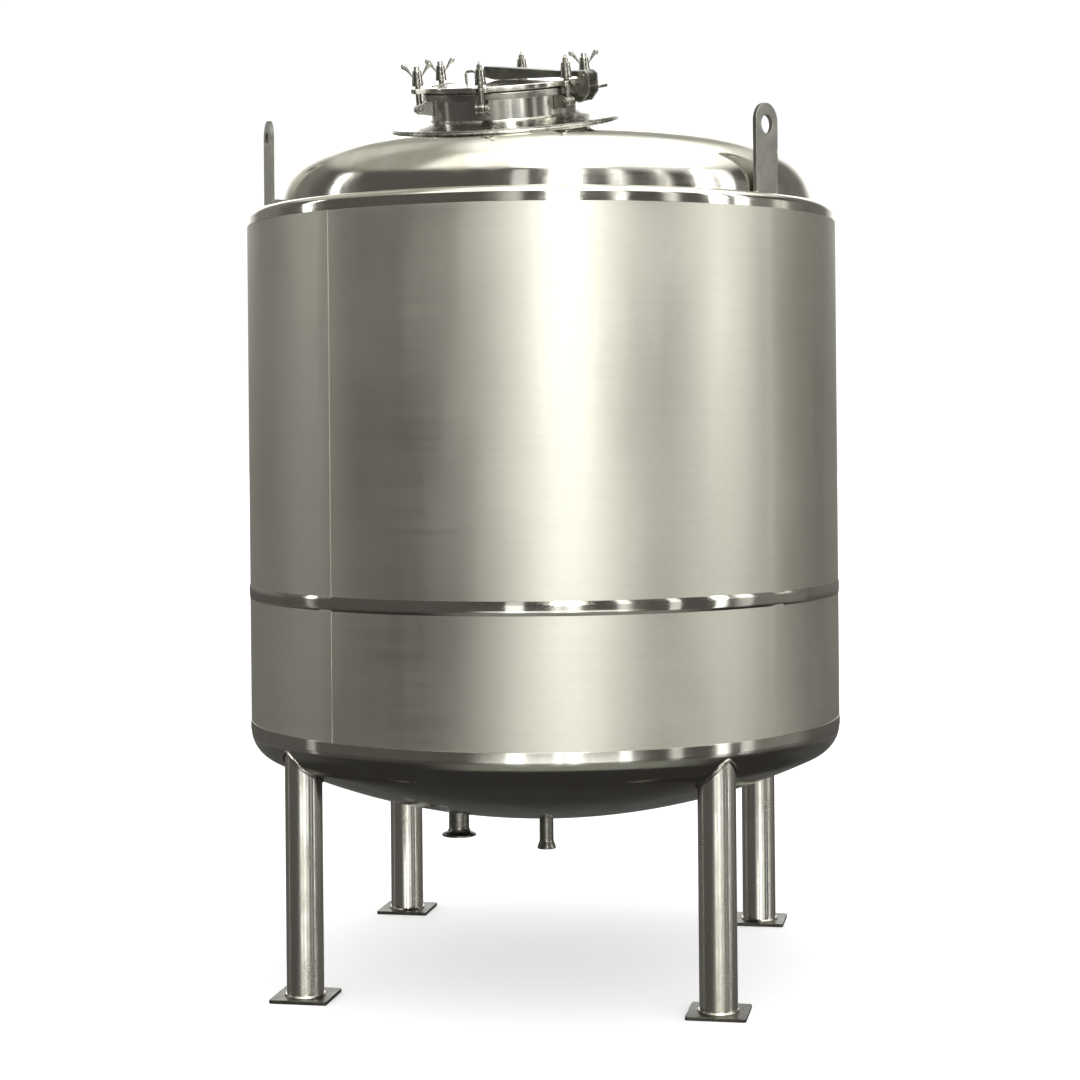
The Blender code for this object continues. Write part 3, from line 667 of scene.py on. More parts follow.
class Finish(Nodes):
    """A node material under construction."""

    def __init__(self, name):
        self.material = bpy.data.materials.new(name)
        self.material.use_nodes = True
        super().__init__(self.material.node_tree)
        self.shader = self.nodes["Principled BSDF"]
        self.place = self.add("ShaderNodeTexCoord").outputs["Object"]

    def noise(self, stretch, detail=3.0, roughness=0.55):
        """Noise over the object's coordinates, stretched by a scale for each axis."""
        node = self.add("ShaderNodeTexNoise")
        self.feed(node.inputs["Vector"], self.vectors("MULTIPLY", self.place, stretch))
        node.inputs["Scale"].default_value = 1.0
        node.inputs["Detail"].default_value = detail
        node.inputs["Roughness"].default_value = roughness
        return node.outputs["Fac"]

    def sum(self, *parts):
        total = parts[0]
        for part in parts[1:]:
            total = self.maths("ADD", total, part)
        return total

    def mixed(self, factor, first, second):
        """Mixes two colours, each an output or three numbers."""
        node = self.add("ShaderNodeMix", data_type="RGBA")
        self.feed(node.inputs["Factor"], factor)
        for key, value in (("A", first), ("B", second)):
            joined = isinstance(value, bpy.types.NodeSocket)
            self.feed(node.inputs[key], value if joined else (*value, 1))
        return node.outputs["Result"]

    def bump(self, height, distance, strength):
        node = self.add("ShaderNodeBump")
        node.inputs["Distance"].default_value = distance
        node.inputs["Strength"].default_value = strength
        self.feed(node.inputs["Height"], height)
        self.feed(self.shader.inputs["Normal"], node.outputs["Normal"])

    def relief(self, coarse, fine, share, distance, strength):
        """Bumps the surface by a coarse height and a share of a fine one."""
        height = self.sum(self.ranged(coarse, 0.2, 0.8), self.ranged(fine, 0.2, 0.8, 0, share))
        self.bump(height, distance, strength)

    def metal(self, metallic=1.0, anisotropy=0.0, coat=0.0, coat_roughness=0.1):
        sockets = ("Metallic", "Anisotropic", "Coat Weight", "Coat Roughness")
        for socket, value in zip(sockets, (metallic, anisotropy, coat, coat_roughness)):
            self.shader.inputs[socket].default_value = value

    def colour_and_roughness(self, colour, roughness):
        self.feed(self.shader.inputs["Base Color"], colour)
        self.feed(self.shader.inputs["Roughness"], roughness)

    def upright_tangent(self):
        """Stretches the gloss up and down, as grain that runs round the tank does."""
        normal = self.add("ShaderNodeNewGeometry").outputs["Normal"]
        round_way = self.vectors("CROSS_PRODUCT", (0, 0, 1), normal)
        upright = self.vectors("CROSS_PRODUCT", normal, round_way)
        self.feed(self.shader.inputs["Tangent"], upright)


def darker(colour, share):
    return tuple(value * share for value in colour)


def tinted(colour, tint):
    return tuple(min(1, value * share) for value, share in zip(colour, tint))


def satin_sheet_finish(name, drift):
    """Brushed sheet: grain that runs round the tank, soft clouds and faint wipe marks."""
    _, looks, _ = settings()
    finish = Finish(name)
    grain = finish.noise((7, 7, 1500), detail=2)
    streaks = finish.noise((2.2 + drift, 2.2, 70), detail=4)
    clouds = finish.noise((2.6, 2.6 + drift, 2.1), detail=3)
    wipes = finish.noise((16, 16, 1.1 + drift), detail=3)
    weave = finish.noise((60, 60, 60), detail=2)
    tone = finish.sum(
        finish.ranged(streaks, 0.3, 0.7, 0, 0.30),
        finish.ranged(clouds, 0.3, 0.7, 0, 0.35),
        finish.ranged(wipes, 0.3, 0.7, 0, 0.20),
        finish.ranged(weave, 0.3, 0.7, 0, 0.15),
    )
    colour = finish.mixed(
        tone,
        tinted(darker(looks.satin_colour, 0.90), (1.02, 0.99, 0.97)),
        tinted(looks.satin_colour, (1.05, 1.06, 1.03)),
    )
    base = looks.satin_roughness
    roughness = finish.sum(
        finish.ranged(clouds, 0.3, 0.7, base - 0.04, base + 0.03),
        finish.ranged(streaks, 0.3, 0.7, -0.025, 0.025),
        finish.ranged(wipes, 0.35, 0.65, -0.02, 0.02),
    )
    finish.metal(metallic=0.98, anisotropy=0.2, coat=0.02, coat_roughness=0.18)
    finish.colour_and_roughness(colour, roughness)
    finish.upright_tangent()
    finish.relief(streaks, grain, 0.4, 0.00006, 0.6)
    return finish.material


def polished_finish(name, wobble, roughness_rise=0.0, tone=1.0):
    """Mirror-polished steel: slow wobble, buffing marks, a few dull patches."""
    _, looks, _ = settings()
    finish = Finish(name)
    slow = finish.noise((5, 5, 5), detail=2)
    buff = finish.noise((9, 9, 160), detail=3)
    dull = finish.noise((11, 11, 7), detail=5, roughness=0.6)
    specks = finish.noise((420, 420, 420), detail=2)
    colour = finish.mixed(
        finish.ranged(dull, 0.4, 0.7, 0, 1),
        darker(looks.polished_colour, tone),
        tinted(darker(looks.polished_colour, tone * 0.86), (1.02, 0.99, 0.95)),
    )
    base = looks.polished_roughness + roughness_rise
    roughness = finish.sum(
        finish.ranged(dull, 0.40, 0.75, base * 0.7, base + 0.09),
        finish.ranged(buff, 0.35, 0.65, -0.01, 0.02),
        finish.ranged(specks, 0.6, 0.8, 0, 0.04),
    )
    finish.metal()
    finish.colour_and_roughness(colour, roughness)
    finish.relief(slow, buff, 0.02, wobble * 10, 0.1)
    return finish.material


def plain_finish(name, colour, roughness, mottle=0.35, scale=1.0):
    """Rolled or ground plate: mottled tone, grinding marks, duller hollows."""
    finish = Finish(name)
    mottled = finish.noise((26 * scale,) * 3, detail=6, roughness=0.62)
    ground = finish.noise((30 * scale, 300 * scale, 30 * scale), detail=3)
    specks = finish.noise((700, 700, 700), detail=1)
    shade = finish.mixed(
        finish.ranged(mottled, 0.32, 0.68, 0, 1),
        darker(colour, 1 - mottle),
        tinted(colour, (1.06, 1.05, 1.0)),
    )
    tone = finish.mixed(finish.ranged(specks, 0.62, 0.8, 0, 0.5), shade, darker(colour, 0.5))
    rough = finish.sum(
        finish.ranged(mottled, 0.3, 0.7, roughness - 0.07, roughness + 0.09),
        finish.ranged(ground, 0.3, 0.7, -0.05, 0.05),
    )
    finish.metal()
    finish.colour_and_roughness(tone, rough)
    finish.relief(mottled, ground, 0.5, 0.0003, 0.5)
    return finish.material


def rubber_finish(name):
    _, looks, _ = settings()
    finish = Finish(name)
    bloom = finish.noise((60, 60, 60), detail=4)
    colour = finish.mixed(
        finish.ranged(bloom, 0.4, 0.7, 0, 1), looks.rubber_colour, darker(looks.rubber_colour, 1.9)
    )
    finish.colour_and_roughness(colour, finish.ranged(bloom, 0.3, 0.7, 0.48, 0.68))
    finish.bump(finish.noise((500, 500, 500), detail=2), 0.0004, 0.3)
    return finish.material


def finish_once(name, maker, *values, **named):
    """The finish of that name, made on first use."""
    return bpy.data.materials.get(name) or maker(name, *values, **named)


def plain_steel():
    return finish_once("plain_steel", plain_finish, settings()[1].plain_colour, 0.30)


def bolt_steel():
    colour = darker(settings()[1].plain_colour, 0.95)
    return finish_once("bolt_steel", plain_finish, colour, 0.22, 0.30, 2.0)


def weld_steel():
    colour = darker(settings()[1].plain_colour, 1.05)
    return finish_once("weld_steel", plain_finish, colour, 0.26, 0.35, 3.0)


def lug_steel():
    return finish_once("lug_steel", plain_finish, settings()[1].plain_colour, 0.50, 0.24)


# Painted shade: a darker copy of the lug steel for the lugs' edges and webs, the faces that do not
# face outward
def cut_steel():
    colour = darker(settings()[1].plain_colour, 0.42)
    return finish_once("cut_steel", plain_finish, colour, 0.55, 0.3, 2.0)


# Painted dark reflection: the foot plates are coloured near black for the dark floor they reflect
def foot_steel():
    return finish_once("foot_steel", plain_finish, settings()[1].foot_reflection_colour, 0.42, 0.40)


def nozzle_steel():
    colour = darker(settings()[1].plain_colour, 0.70)
    return finish_once("nozzle_steel", plain_finish, colour, 0.30, 0.35, 1.6)


# Pieces


def wander(seed, size, strength):
    """A slow, smooth change of radius, longer up the tank than round it, the same on every run."""

    def shift(turn, height):
        place = Vector((cos(turn) / size, sin(turn) / size, height / size * 0.8 + seed))
        return strength * noise.noise(place)

    return shift


def lapped_sheet(begin, seam, joggle, drift, step):
    """Radius of a sheet that wanders from its start to its seam and steps out over the lap."""

    def wave(radius, height, turn):
        free = min(1, max(0, turn - begin) / joggle, max(0, seam - turn) / joggle)
        past = (turn - (seam - joggle)) / joggle
        return radius + drift(turn, height) * free + step * smooth_step(past)

    return wave


def dress_cladding():
    """Eight bent sheets; each runs past its seam and laps over the next one."""
    sizes, _, _ = settings()
    lap = sizes.lap_width / CLADDING_RADIUS
    joggle = JOGGLE / CLADDING_RADIUS
    sweep = TURN / SHEETS_ROUND
    courses = (
        ("lower_cladding", CLADDING_BOTTOM + CLEAR, WAIST_HEIGHT - CLEAR / 2, LOWER_ROWS),
        ("upper_cladding", WAIST_HEIGHT + CLEAR / 2, CLADDING_TOP, UPPER_ROWS),
    )
    for course, foot, top, rows in courses:
        rise = [foot + (top - foot) * i / rows for i in range(1, rows)]
        outside = [(-SHEET_EDGE, foot), (0, foot + SHEET_EDGE)] + [(0, height) for height in rise]
        outside += [(0, top - SHEET_EDGE), (-SHEET_EDGE, top)]
        inside = [(-SHEET_DEPTH, height) for height in (top, *reversed(rise), foot)]
        outline = [(CLADDING_RADIUS + depth, height) for depth, height in outside + inside]
        for number in range(SHEETS_ROUND):
            name = f"{course}_{number + 1}"
            begin = SEAM_AZIMUTH + sweep * number
            drift = wander(number * 3.7 + foot, SHEET_WAVE_SIZE, sizes.sheet_wave)
            wave = lapped_sheet(begin, begin + sweep, joggle, drift, sizes.lap_step + CLEAR)
            shape = Shape()
            shape.lathe(outline, SHEET_STEPS, start=begin, sweep=sweep + lap, wave=wave)
            finish = satin_sheet_finish(f"satin_sheet_{name}", number * 0.11 + foot * 0.05)
            shape.done(name + "_sheet", finish, [name])


def dress_waist_band():
    """A rolled band that covers the joint of the two courses."""
    sizes, _, _ = settings()
    inside = CLADDING_RADIUS + CLEAR
    back = inside - WAIST_BAND_BACK
    half = WAIST_BAND_HEIGHT / 2
    bulge = [
        (inside + WAIST_BAND_PROUD * (1 - abs(share) ** 3), WAIST_HEIGHT + half * share)
        for share in [-1 + 2 * i / BEND_STEPS for i in range(BEND_STEPS + 1)]
    ]
    shape = Shape()
    outline = [(back, WAIST_HEIGHT - half)] + bulge + [(back, WAIST_HEIGHT + half)]
    shape.lathe(outline, sizes.round_steps, start=SEAM_AZIMUTH)
    finish = finish_once("polished_trim", polished_finish, wobble=0.0002, tone=0.92)
    shape.done("waist_band_strip", finish, ["waist_band"])


def dress_shoulder():
    """The rounded ring and the weld where it meets the head."""
    sizes, _, _ = settings()
    foot = CLADDING_TOP + CLEAR
    top = CLADDING_TOP + SHOULDER_RISE
    radius = SHOULDER_RISE - sizes.shoulder_lip - CLEAR
    bend = (CLADDING_RADIUS - radius, top - radius - CLEAR)
    hole = VESSEL_RADIUS - 2 * VESSEL_OFFSET
    outer = [(CLADDING_RADIUS, foot)] + arc(bend, radius, 0, pi / 2, BEND_STEPS)
    inner = [(CLADDING_RADIUS - SHOULDER_SHEET, foot)]
    inner += arc(bend, radius - SHOULDER_SHEET, 0, pi / 2, BEND_STEPS)
    outline = outer + [(hole, top - CLEAR), (hole, top - SHOULDER_SHEET - CLEAR)] + inner[::-1]
    shape = Shape()
    shape.lathe(outline, sizes.round_steps, start=SEAM_AZIMUTH)
    finish = finish_once("polished_ring", polished_finish, wobble=0.0004, roughness_rise=0.02)
    shape.done("shoulder_ring_sheet", finish, ["shoulder_ring"])

    route = ring_route(VESSEL_RADIUS, top, WELD_STEPS, vessel_frame())
    shape = Shape()
    shape.bead(route, [Vector((0, 0, 1))] * WELD_STEPS, SHOULDER_WELD)
    shape.done("head_weld", weld_steel())


def cut_by_rod(piece, radius, low, high, place, steps=96):
    """Cuts a round hole through a piece."""
    shape = bmesh.new()
    bmesh.ops.create_cone(
        shape, cap_ends=True, segments=steps, radius1=radius, radius2=radius, depth=high - low
    )
    bmesh.ops.translate(shape, vec=(0, 0, (low + high) / 2), verts=shape.verts)
    bmesh.ops.transform(shape, verts=shape.verts, matrix=place)
    mesh = bpy.data.meshes.new("cutter")
    shape.to_mesh(mesh)
    shape.free()
    cutter = bpy.data.objects.new("cutter", mesh)
    bpy.context.scene.collection.objects.link(cutter)
    modifier = piece.modifiers.new("Hole", "BOOLEAN")
    modifier.operation = "DIFFERENCE"
    modifier.solver = "EXACT"
    modifier.object = cutter
    depsgraph = bpy.context.evaluated_depsgraph_get()
    old = piece.data
    piece.data = bpy.data.meshes.new_from_object(piece.evaluated_get(depsgraph))
    piece.modifiers.remove(modifier)
    bpy.data.meshes.remove(old)
    bpy.data.objects.remove(cutter, do_unlink=True)


def dished_outline(radius, start, knuckle, crown, wall, foot, upward, steps):
    outer = dished_curve(radius, start, knuckle, crown, upward, *steps)
    inner = dished_curve(radius - wall, start, knuckle - wall, crown - wall, upward, *steps)
    return [(radius, foot)] + outer + inner[::-1] + [(radius - wall, foot)]


def dress_top_head():
    sizes, _, _ = settings()
    outline = dished_outline(
        VESSEL_RADIUS, TOP_KNUCKLE_START, KNUCKLE_RADIUS, CROWN_RADIUS, VESSEL_WALL,
        TOP_HEAD_FOOT, True, (BEND_STEPS, CROWN_STEPS),
    )
    drift = wander(11.0, TOP_WAVE_SIZE, sizes.head_wave)

    def wave(radius, height, turn):
        return radius + drift(turn, height + radius) * min(1, radius / POLE_CALM)

    shape = Shape()
    shape.lathe(outline, sizes.round_steps, vessel_frame(), wave=wave)
    finish = finish_once("polished_head", polished_finish, wobble=0.0006, roughness_rise=0.03)
    head = shape.done("top_head_dish", finish, ["top_head"], flat_caps=False)
    cut_by_rod(head, NECK_RADIUS + CLEAR, -HEAD_CUT, HEAD_CUT, manway_frame())


def bottom_curve():
    foot = BOTTOM_BAND_FOOT - CLEAR
    return dished_curve(
        CLADDING_RADIUS, foot, DISH_KNUCKLE, DISH_CROWN, False, BEND_STEPS, CROWN_STEPS
    )


def dress_bottom():
    """The polished band and the dish that close the cladding below."""
    sizes, _, _ = settings()
    inside = CLADDING_RADIUS - DISH_SHEET
    outside = CLADDING_RADIUS + BOTTOM_BAND_PROUD
    corners = [
        (inside, BOTTOM_BAND_FOOT, 0), (outside, BOTTOM_BAND_FOOT, BOTTOM_BAND_EDGE),
        (outside, CLADDING_BOTTOM, BOTTOM_BAND_EDGE), (inside, CLADDING_BOTTOM, 0),
    ]
    shape = Shape()
    shape.lathe(rounded(corners), sizes.round_steps, start=SEAM_AZIMUTH)
    finish = finish_once("polished_band", polished_finish, wobble=0.0003)
    shape.done("bottom_band_strip", finish, ["bottom_band"])

    foot = BOTTOM_BAND_FOOT - CLEAR
    outline = dished_outline(
        CLADDING_RADIUS, foot, DISH_KNUCKLE, DISH_CROWN, DISH_SHEET,
        foot, False, (BEND_STEPS, CROWN_STEPS),
    )[1:-1]
    drift = wander(23.0, DISH_WAVE_SIZE, sizes.head_wave)

    def wave(radius, height, turn):
        free = min(1, radius / POLE_CALM, (CLADDING_RADIUS - radius) / RIM_CALM)
        return radius + drift(turn, height + radius) * free

    shape = Shape()
    shape.lathe(outline, sizes.round_steps, start=SEAM_AZIMUTH, wave=wave)
    finish = finish_once(
        "polished_dish", polished_finish, wobble=0.0005, roughness_rise=0.03, tone=0.85
    )
    dish = shape.done(
        "bottom_dish_sheet", finish, ["bottom_dish"], flat_caps=False
    )
    for (x, y), neck, _, _ in NOZZLES.values():
        cut_by_rod(dish, neck + CLEAR, *DISH_CUT, Matrix.Translation((x, y, 0)), 48)


def dress_nozzles():
    """Bored stubs with turned ferrule ends."""
    curve = bottom_curve()
    for name, ((x, y), neck, flange, foot) in NOZZLES.items():
        bore = neck - NOZZLE_WALL
        corners = [
            (bore, foot, 0.001),
            (flange, foot, 0.0015),
            (flange, foot + FERRULE_EDGE, 0.0015),
            (neck + FERRULE_SLOPE[0], foot + FERRULE_SLOPE[1], 0.006),
            (neck, foot + FERRULE_TOP, 0.010),
            (neck, NOZZLE_TOP, 0),
            (bore, NOZZLE_TOP, 0),
        ]
        shape = Shape()
        at = Matrix.Translation((x, y, 0))
        shape.lathe(rounded(corners, 5), 64, at)
        shape.done(name + "_stub", nozzle_steel(), [name])

        route = []
        for turn in full_turn(PIPE_STEPS):
            point = Vector((x + neck * cos(turn), y + neck * sin(turn), 0))
            point.z = height_on(curve, point.to_2d().length) - 0.001
            route.append(point)
        shape = Shape()
        shape.bead(route, [Vector((0, 0, -1))] * PIPE_STEPS, NOZZLE_WELD, 0.12, 0.004)
        shape.done(name + "_weld", weld_steel())


def dress_legs():
    """Polished pipes coped to the dish, welded to it and to their foot plates."""
    sizes, _, _ = settings()
    finish = finish_once("polished_pipe", polished_finish, wobble=0.0001, roughness_rise=0.14)
    curve = bottom_curve()
    foot = FOOT_THICKNESS + CLEAR
    turns = full_turn(PIPE_STEPS)
    for number, azimuth in enumerate(LEG_AZIMUTHS):
        centre = Vector((LEG_CIRCLE * cos(azimuth), LEG_CIRCLE * sin(azimuth), 0))

        def ring(radius, height=None, drop=0.0):
            points = []
            for turn in turns:
                point = centre + Vector((radius * cos(turn), radius * sin(turn), 0))
                if height is None:
                    point.z = height_on(curve, point.to_2d().length) - CLEAR - drop
                else:
                    point.z = height
                points.append(point)
            return points

        bore = LEG_RADIUS - LEG_WALL
        levels = [foot + LEG_STRAIGHT * i / LEG_RINGS for i in range(1, LEG_RINGS + 1)]
        rows = [ring(bore, foot), ring(LEG_RADIUS - LEG_EDGE, foot)]
        rows += [ring(LEG_RADIUS, level) for level in (foot + LEG_EDGE, *levels)]
        rows += [ring(LEG_RADIUS), ring(bore)]
        shape = Shape()
        shape.grid(rows, wrap_rows=True, wrap_columns=True)
        shape.done(f"leg_{number + 1}_pipe", finish, [f"leg_{number + 1}"])

        shape = Shape()
        outward = [Vector((cos(turn), sin(turn), -1)).normalized() for turn in turns]
        cope = ring(LEG_RADIUS + LEG_WELD_OUT, drop=LEG_WELD_DROP)
        shape.bead(cope, outward, sizes.weld_radius, *LEG_WELD_RIPPLE)
        upward = [Vector((cos(turn), sin(turn), 1)).normalized() for turn in turns]
        low = ring(LEG_RADIUS + LEG_WELD_OUT, foot)
        shape.bead(low, upward, sizes.weld_radius * FOOT_WELD_SHARE, *LEG_WELD_RIPPLE)
        shape.done(f"leg_{number + 1}_welds", weld_steel())

        half = FOOT_SIDE / 2
        outline = rounded(rectangle(half, half, FOOT_CORNER), 5)
        shape = Shape()
        place = Matrix.Translation(centre) @ Matrix.Translation((0, 0, FOOT_THICKNESS / 2))
        shape.plate([outline], FOOT_THICKNESS, FOOT_EDGE, place)
        name = f"foot_plate_{number + 1}"
        shape.done(name + "_plate", foot_steel(), [name])


def dress_lugs():
    """Round-topped lifting plates with their webs and welds."""
    sizes, _, _ = settings()
    foot = CLADDING_TOP + SHOULDER_RISE + CLEAR
    half = LUG_WIDTH / 2
    for number, azimuth in enumerate(LUG_AZIMUTHS):
        name = f"lifting_lug_{number + 1}"
        turned = about_z(azimuth) @ Matrix.Translation((LUG_CIRCLE, 0, 0))
        upright = about_z(pi / 2) @ ON_EDGE
        outline = [(-half, foot), (half, foot)] + arc((0, LUG_TOP - half), half, 0, pi, 28)
        hole = arc((0, LUG_TOP - LUG_HOLE_DROP), LUG_HOLE_RADIUS, 0, TURN, 40)[:-1]
        shape = Shape()
        shape.plate([outline, hole], LUG_THICKNESS, LUG_EDGE, turned @ upright)
        out = Vector((cos(azimuth), sin(azimuth), 0))
        lean = out.x * VESSEL_OFFSET
        head_at = lean + sqrt(lean**2 - VESSEL_OFFSET**2 + (VESSEL_RADIUS + 2 * CLEAR) ** 2)
        near = head_at - LUG_CIRCLE
        web = [(near, foot), (0, foot), (0, LUG_WEB_TOP), (near, LUG_WEB_TOP)]
        shape.plate([web], LUG_THICKNESS, LUG_WEB_EDGE, turned @ ON_EDGE)
        plate = shape.done(name + "_plate", lug_steel(), [name])
        # Painted shade: faces of the lug and its web that do not face outward get the darker copy
        # of the lug steel
        plate.data.materials.append(cut_steel())
        for face in plate.data.polygons:
            if abs(face.normal.dot(out)) < LUG_SHADE_FACING:
                face.material_index = 1

        loop = rounded(rectangle(LUG_THICKNESS / 2, half - LUG_WEB_EDGE, LUG_WELD_CORNER))
        route = []
        for i, point in enumerate(loop):
            ahead = loop[(i + 1) % len(loop)]
            span = Vector(ahead) - Vector(point)
            parts = max(1, ceil(span.length / LUG_WELD_STEP))
            for k in range(parts):
                flat = Vector(point) + span * (k / parts)
                route.append(turned @ Vector((flat.x, flat.y, foot)))
        shape = Shape()
        shape.bead(route, [Vector((0, 0, 1))] * len(route), sizes.weld_radius, 0.12, 0.005)
        shape.done(name + "_weld", weld_steel())


def ring_route(radius, height, steps, place):
    turns = full_turn(steps)
    return [place @ Vector((radius * cos(turn), radius * sin(turn), height)) for turn in turns]


def dress_manway_neck():
    """The reinforcing pad, the neck, their welds, and the rim with its drilled cheeks."""
    place = manway_frame()
    up = place.to_3x3() @ Vector((0, 0, 1))
    inside = NECK_RADIUS + CLEAR
    spread = [inside + (PAD_RADIUS - inside) * i / 12 for i in range(13)]
    under = [(radius, dome_height(radius) + CLEAR) for radius in spread]
    over = [(radius, dome_height(radius) + CLEAR + PAD_THICKNESS) for radius in spread[:-1]]
    edge = dome_height(PAD_RADIUS) + CLEAR + PAD_THICKNESS
    over += [(PAD_RADIUS - PAD_EDGE, edge), (PAD_RADIUS, edge - PAD_EDGE)]
    shape = Shape()
    shape.lathe(under + over[::-1], MANWAY_STEPS, place)
    finish = finish_once("pad_steel", plain_finish, darker(settings()[1].plain_colour, 1.15), 0.24)
    shape.done("manway_pad_plate", finish, ["manway_pad"])

    shape = Shape()
    beads = (
        (PAD_RADIUS, dome_height(PAD_RADIUS) + 0.001, 360, PAD_WELD),
        (NECK_RADIUS, dome_height(NECK_RADIUS) + PAD_THICKNESS, WELD_STEPS, NECK_WELD),
    )
    for radius, height, steps, weld in beads:
        route = ring_route(radius + MANWAY_WELD_OUT, height, steps, place)
        shape.bead(route, [up] * steps, weld, *MANWAY_WELD_RIPPLE)
    shape.done("manway_welds", weld_steel())

    bore = NECK_RADIUS - NECK_WALL
    corners = [(bore, NECK_FOOT, 0.001), (NECK_RADIUS, NECK_FOOT, 0.001),
               (NECK_RADIUS, NECK_TOP, 0.0006), (bore, NECK_TOP, 0.0006)]
    shape = Shape()
    shape.lathe(rounded(corners), MANWAY_STEPS, place)
    finish = finish_once(
        "polished_neck", polished_finish, wobble=0.0003, roughness_rise=0.06, tone=0.85
    )
    shape.done("manway_neck_tube", finish, ["manway_neck"])

    corners = [(inside, RIM_FOOT, 0), (RIM_RADIUS, RIM_FOOT, 0.002),
               (RIM_RADIUS, NECK_TOP, 0.002), (inside, NECK_TOP, 0)]
    shape = Shape()
    shape.lathe(rounded(corners), MANWAY_STEPS, place)
    near = NECK_RADIUS + 2 * CLEAR
    for angle in bolt_angles():
        nose = arc((BOLT_CIRCLE, PIVOT_HEIGHT), CHEEK_NOSE, -pi / 2, pi / 3, 10)
        outline = [(near, CHEEK_FOOT)] + nose
        root = RIM_FOOT + CHEEK_ROOT_RISE
        outline += [(RIM_RADIUS - CHEEK_INSET, root), (near, root)]
        hole = arc((BOLT_CIRCLE, PIVOT_HEIGHT), PIN_RADIUS + CLEAR, 0, TURN, 20)[:-1]
        for side in (-1, 1):
            offset = side * (CHEEK_SPACE + CHEEK_THICKNESS) / 2
            upright = about_z(angle) @ Matrix.Translation((0, offset, 0)) @ ON_EDGE
            shape.plate([outline, hole], CHEEK_THICKNESS, 0.001, place @ upright)
    shape.done("manway_rim_ring", plain_steel(), ["manway_rim"])


def bolt_angles():
    return [BOLT_PHASE + TURN * number / BOLT_COUNT for number in range(BOLT_COUNT)]


def lid_crown(radius):
    """Height of the lid's crown at a radius."""
    share = 1 - radius / LID_STEP_RADIUS
    return LID_FOOT + LID_EDGE - LID_STEP_DROP + LID_CROWN_RISE * sin(pi / 2 * share)


def dress_lid():
    """The gasket and the lid with its slotted ears."""
    place = manway_frame()
    foot = NECK_TOP + CLEAR
    low, high = NECK_RADIUS - GASKET_INWARD, NECK_RADIUS + GASKET_OUTWARD
    top = foot + GASKET_THICKNESS
    corners = [(low, foot, 0.001), (high, foot, 0.0018), (high, top, 0.0018), (low, top, 0.001)]
    shape = Shape()
    shape.lathe(rounded(corners), MANWAY_STEPS, place)
    finish = finish_once("gasket_rubber", rubber_finish)
    shape.done("lid_gasket_ring", finish, ["lid_gasket"])

    foot = LID_FOOT
    top = foot + LID_EDGE
    step = LID_STEP_RADIUS
    crown = [(step * (1 - i / 20), lid_crown(step * (1 - i / 20))) for i in range(1, 21)]
    under = [(radius, height - LID_PLATE) for radius, height in crown]
    rim = rounded([
        (step, foot, 0), (LID_RADIUS, foot, 0.002), (LID_RADIUS, top, 0.003),
        (step + LID_LIP, top, 0.003), (step, top - LID_STEP_DROP, 0.002),
        (LID_RING_END, top - LID_RING_DROP, 0), (LID_RING_END, foot + LID_RING_LIFT, 0),
    ], 4)
    shape = Shape()
    shape.lathe(rim, LID_STEPS, place)
    crown_foot = top - LID_STEP_DROP - 0.0002
    inner = [(LID_CROWN_START, crown_foot)] + [p for p in crown if p[0] < LID_CROWN_START]
    beneath = [p for p in reversed(under) if p[0] < LID_CROWN_START]
    beneath.append((LID_CROWN_START, crown_foot - LID_PLATE))
    shape.lathe(inner + beneath, LID_STEPS, place)
    side, slot = EAR_WIDTH / 2, SLOT_WIDTH / 2
    bend_x, bend_y = EAR_REACH - EAR_CORNER, side - EAR_CORNER
    outline = [(EAR_ROOT, -side), (bend_x, -side)]
    outline += arc((bend_x, -bend_y), EAR_CORNER, -pi / 2, 0, 5)[1:] + [(EAR_REACH, -slot)]
    outline += arc((BOLT_CIRCLE, 0), slot, -pi / 2, -3 * pi / 2, BEND_STEPS) + [(EAR_REACH, slot)]
    outline += arc((bend_x, bend_y), EAR_CORNER, 0, pi / 2, 5) + [(EAR_ROOT, side)]
    thickness = LID_EDGE - EAR_STEP
    for angle in bolt_angles():
        lift = Matrix.Translation((0, 0, foot + thickness / 2))
        shape.plate([outline], thickness, 0.0012, place @ about_z(angle) @ lift)
    finish = finish_once(
        "polished_lid", polished_finish, wobble=0.0003, roughness_rise=0.08, tone=0.95
    )
    shape.done("manway_lid_dish", finish, ["manway_lid"])


def wing_outline():
    """One wing of a nut, in the wings' plane: (sideways, up)."""
    up = NUT_FOOT + NUT_HEIGHT
    shares = (
        (0.72, 0.12, 0.010),
        (0.96, 0.32, 0.006),
        (1.00, 0.72, 0.006),
        (0.92, 1.00, 0.006),
        (0.74, 0.99, 0.006),
        (0.60, 0.60, 0.010),
    )
    tip = [(WING_SPAN * side, up + WING_RISE * rise, bend) for side, rise, bend in shares]
    root = [(0, NUT_FOOT + WING_FOOT, 0), (NUT_RADIUS - 0.002, NUT_FOOT + WING_FOOT, 0.004)]
    neck = [(NUT_RADIUS - 0.002, up - WING_FOOT / 2, 0.004), (0, up - WING_FOOT / 2, 0)]
    return rounded(root + tip + neck, 5)


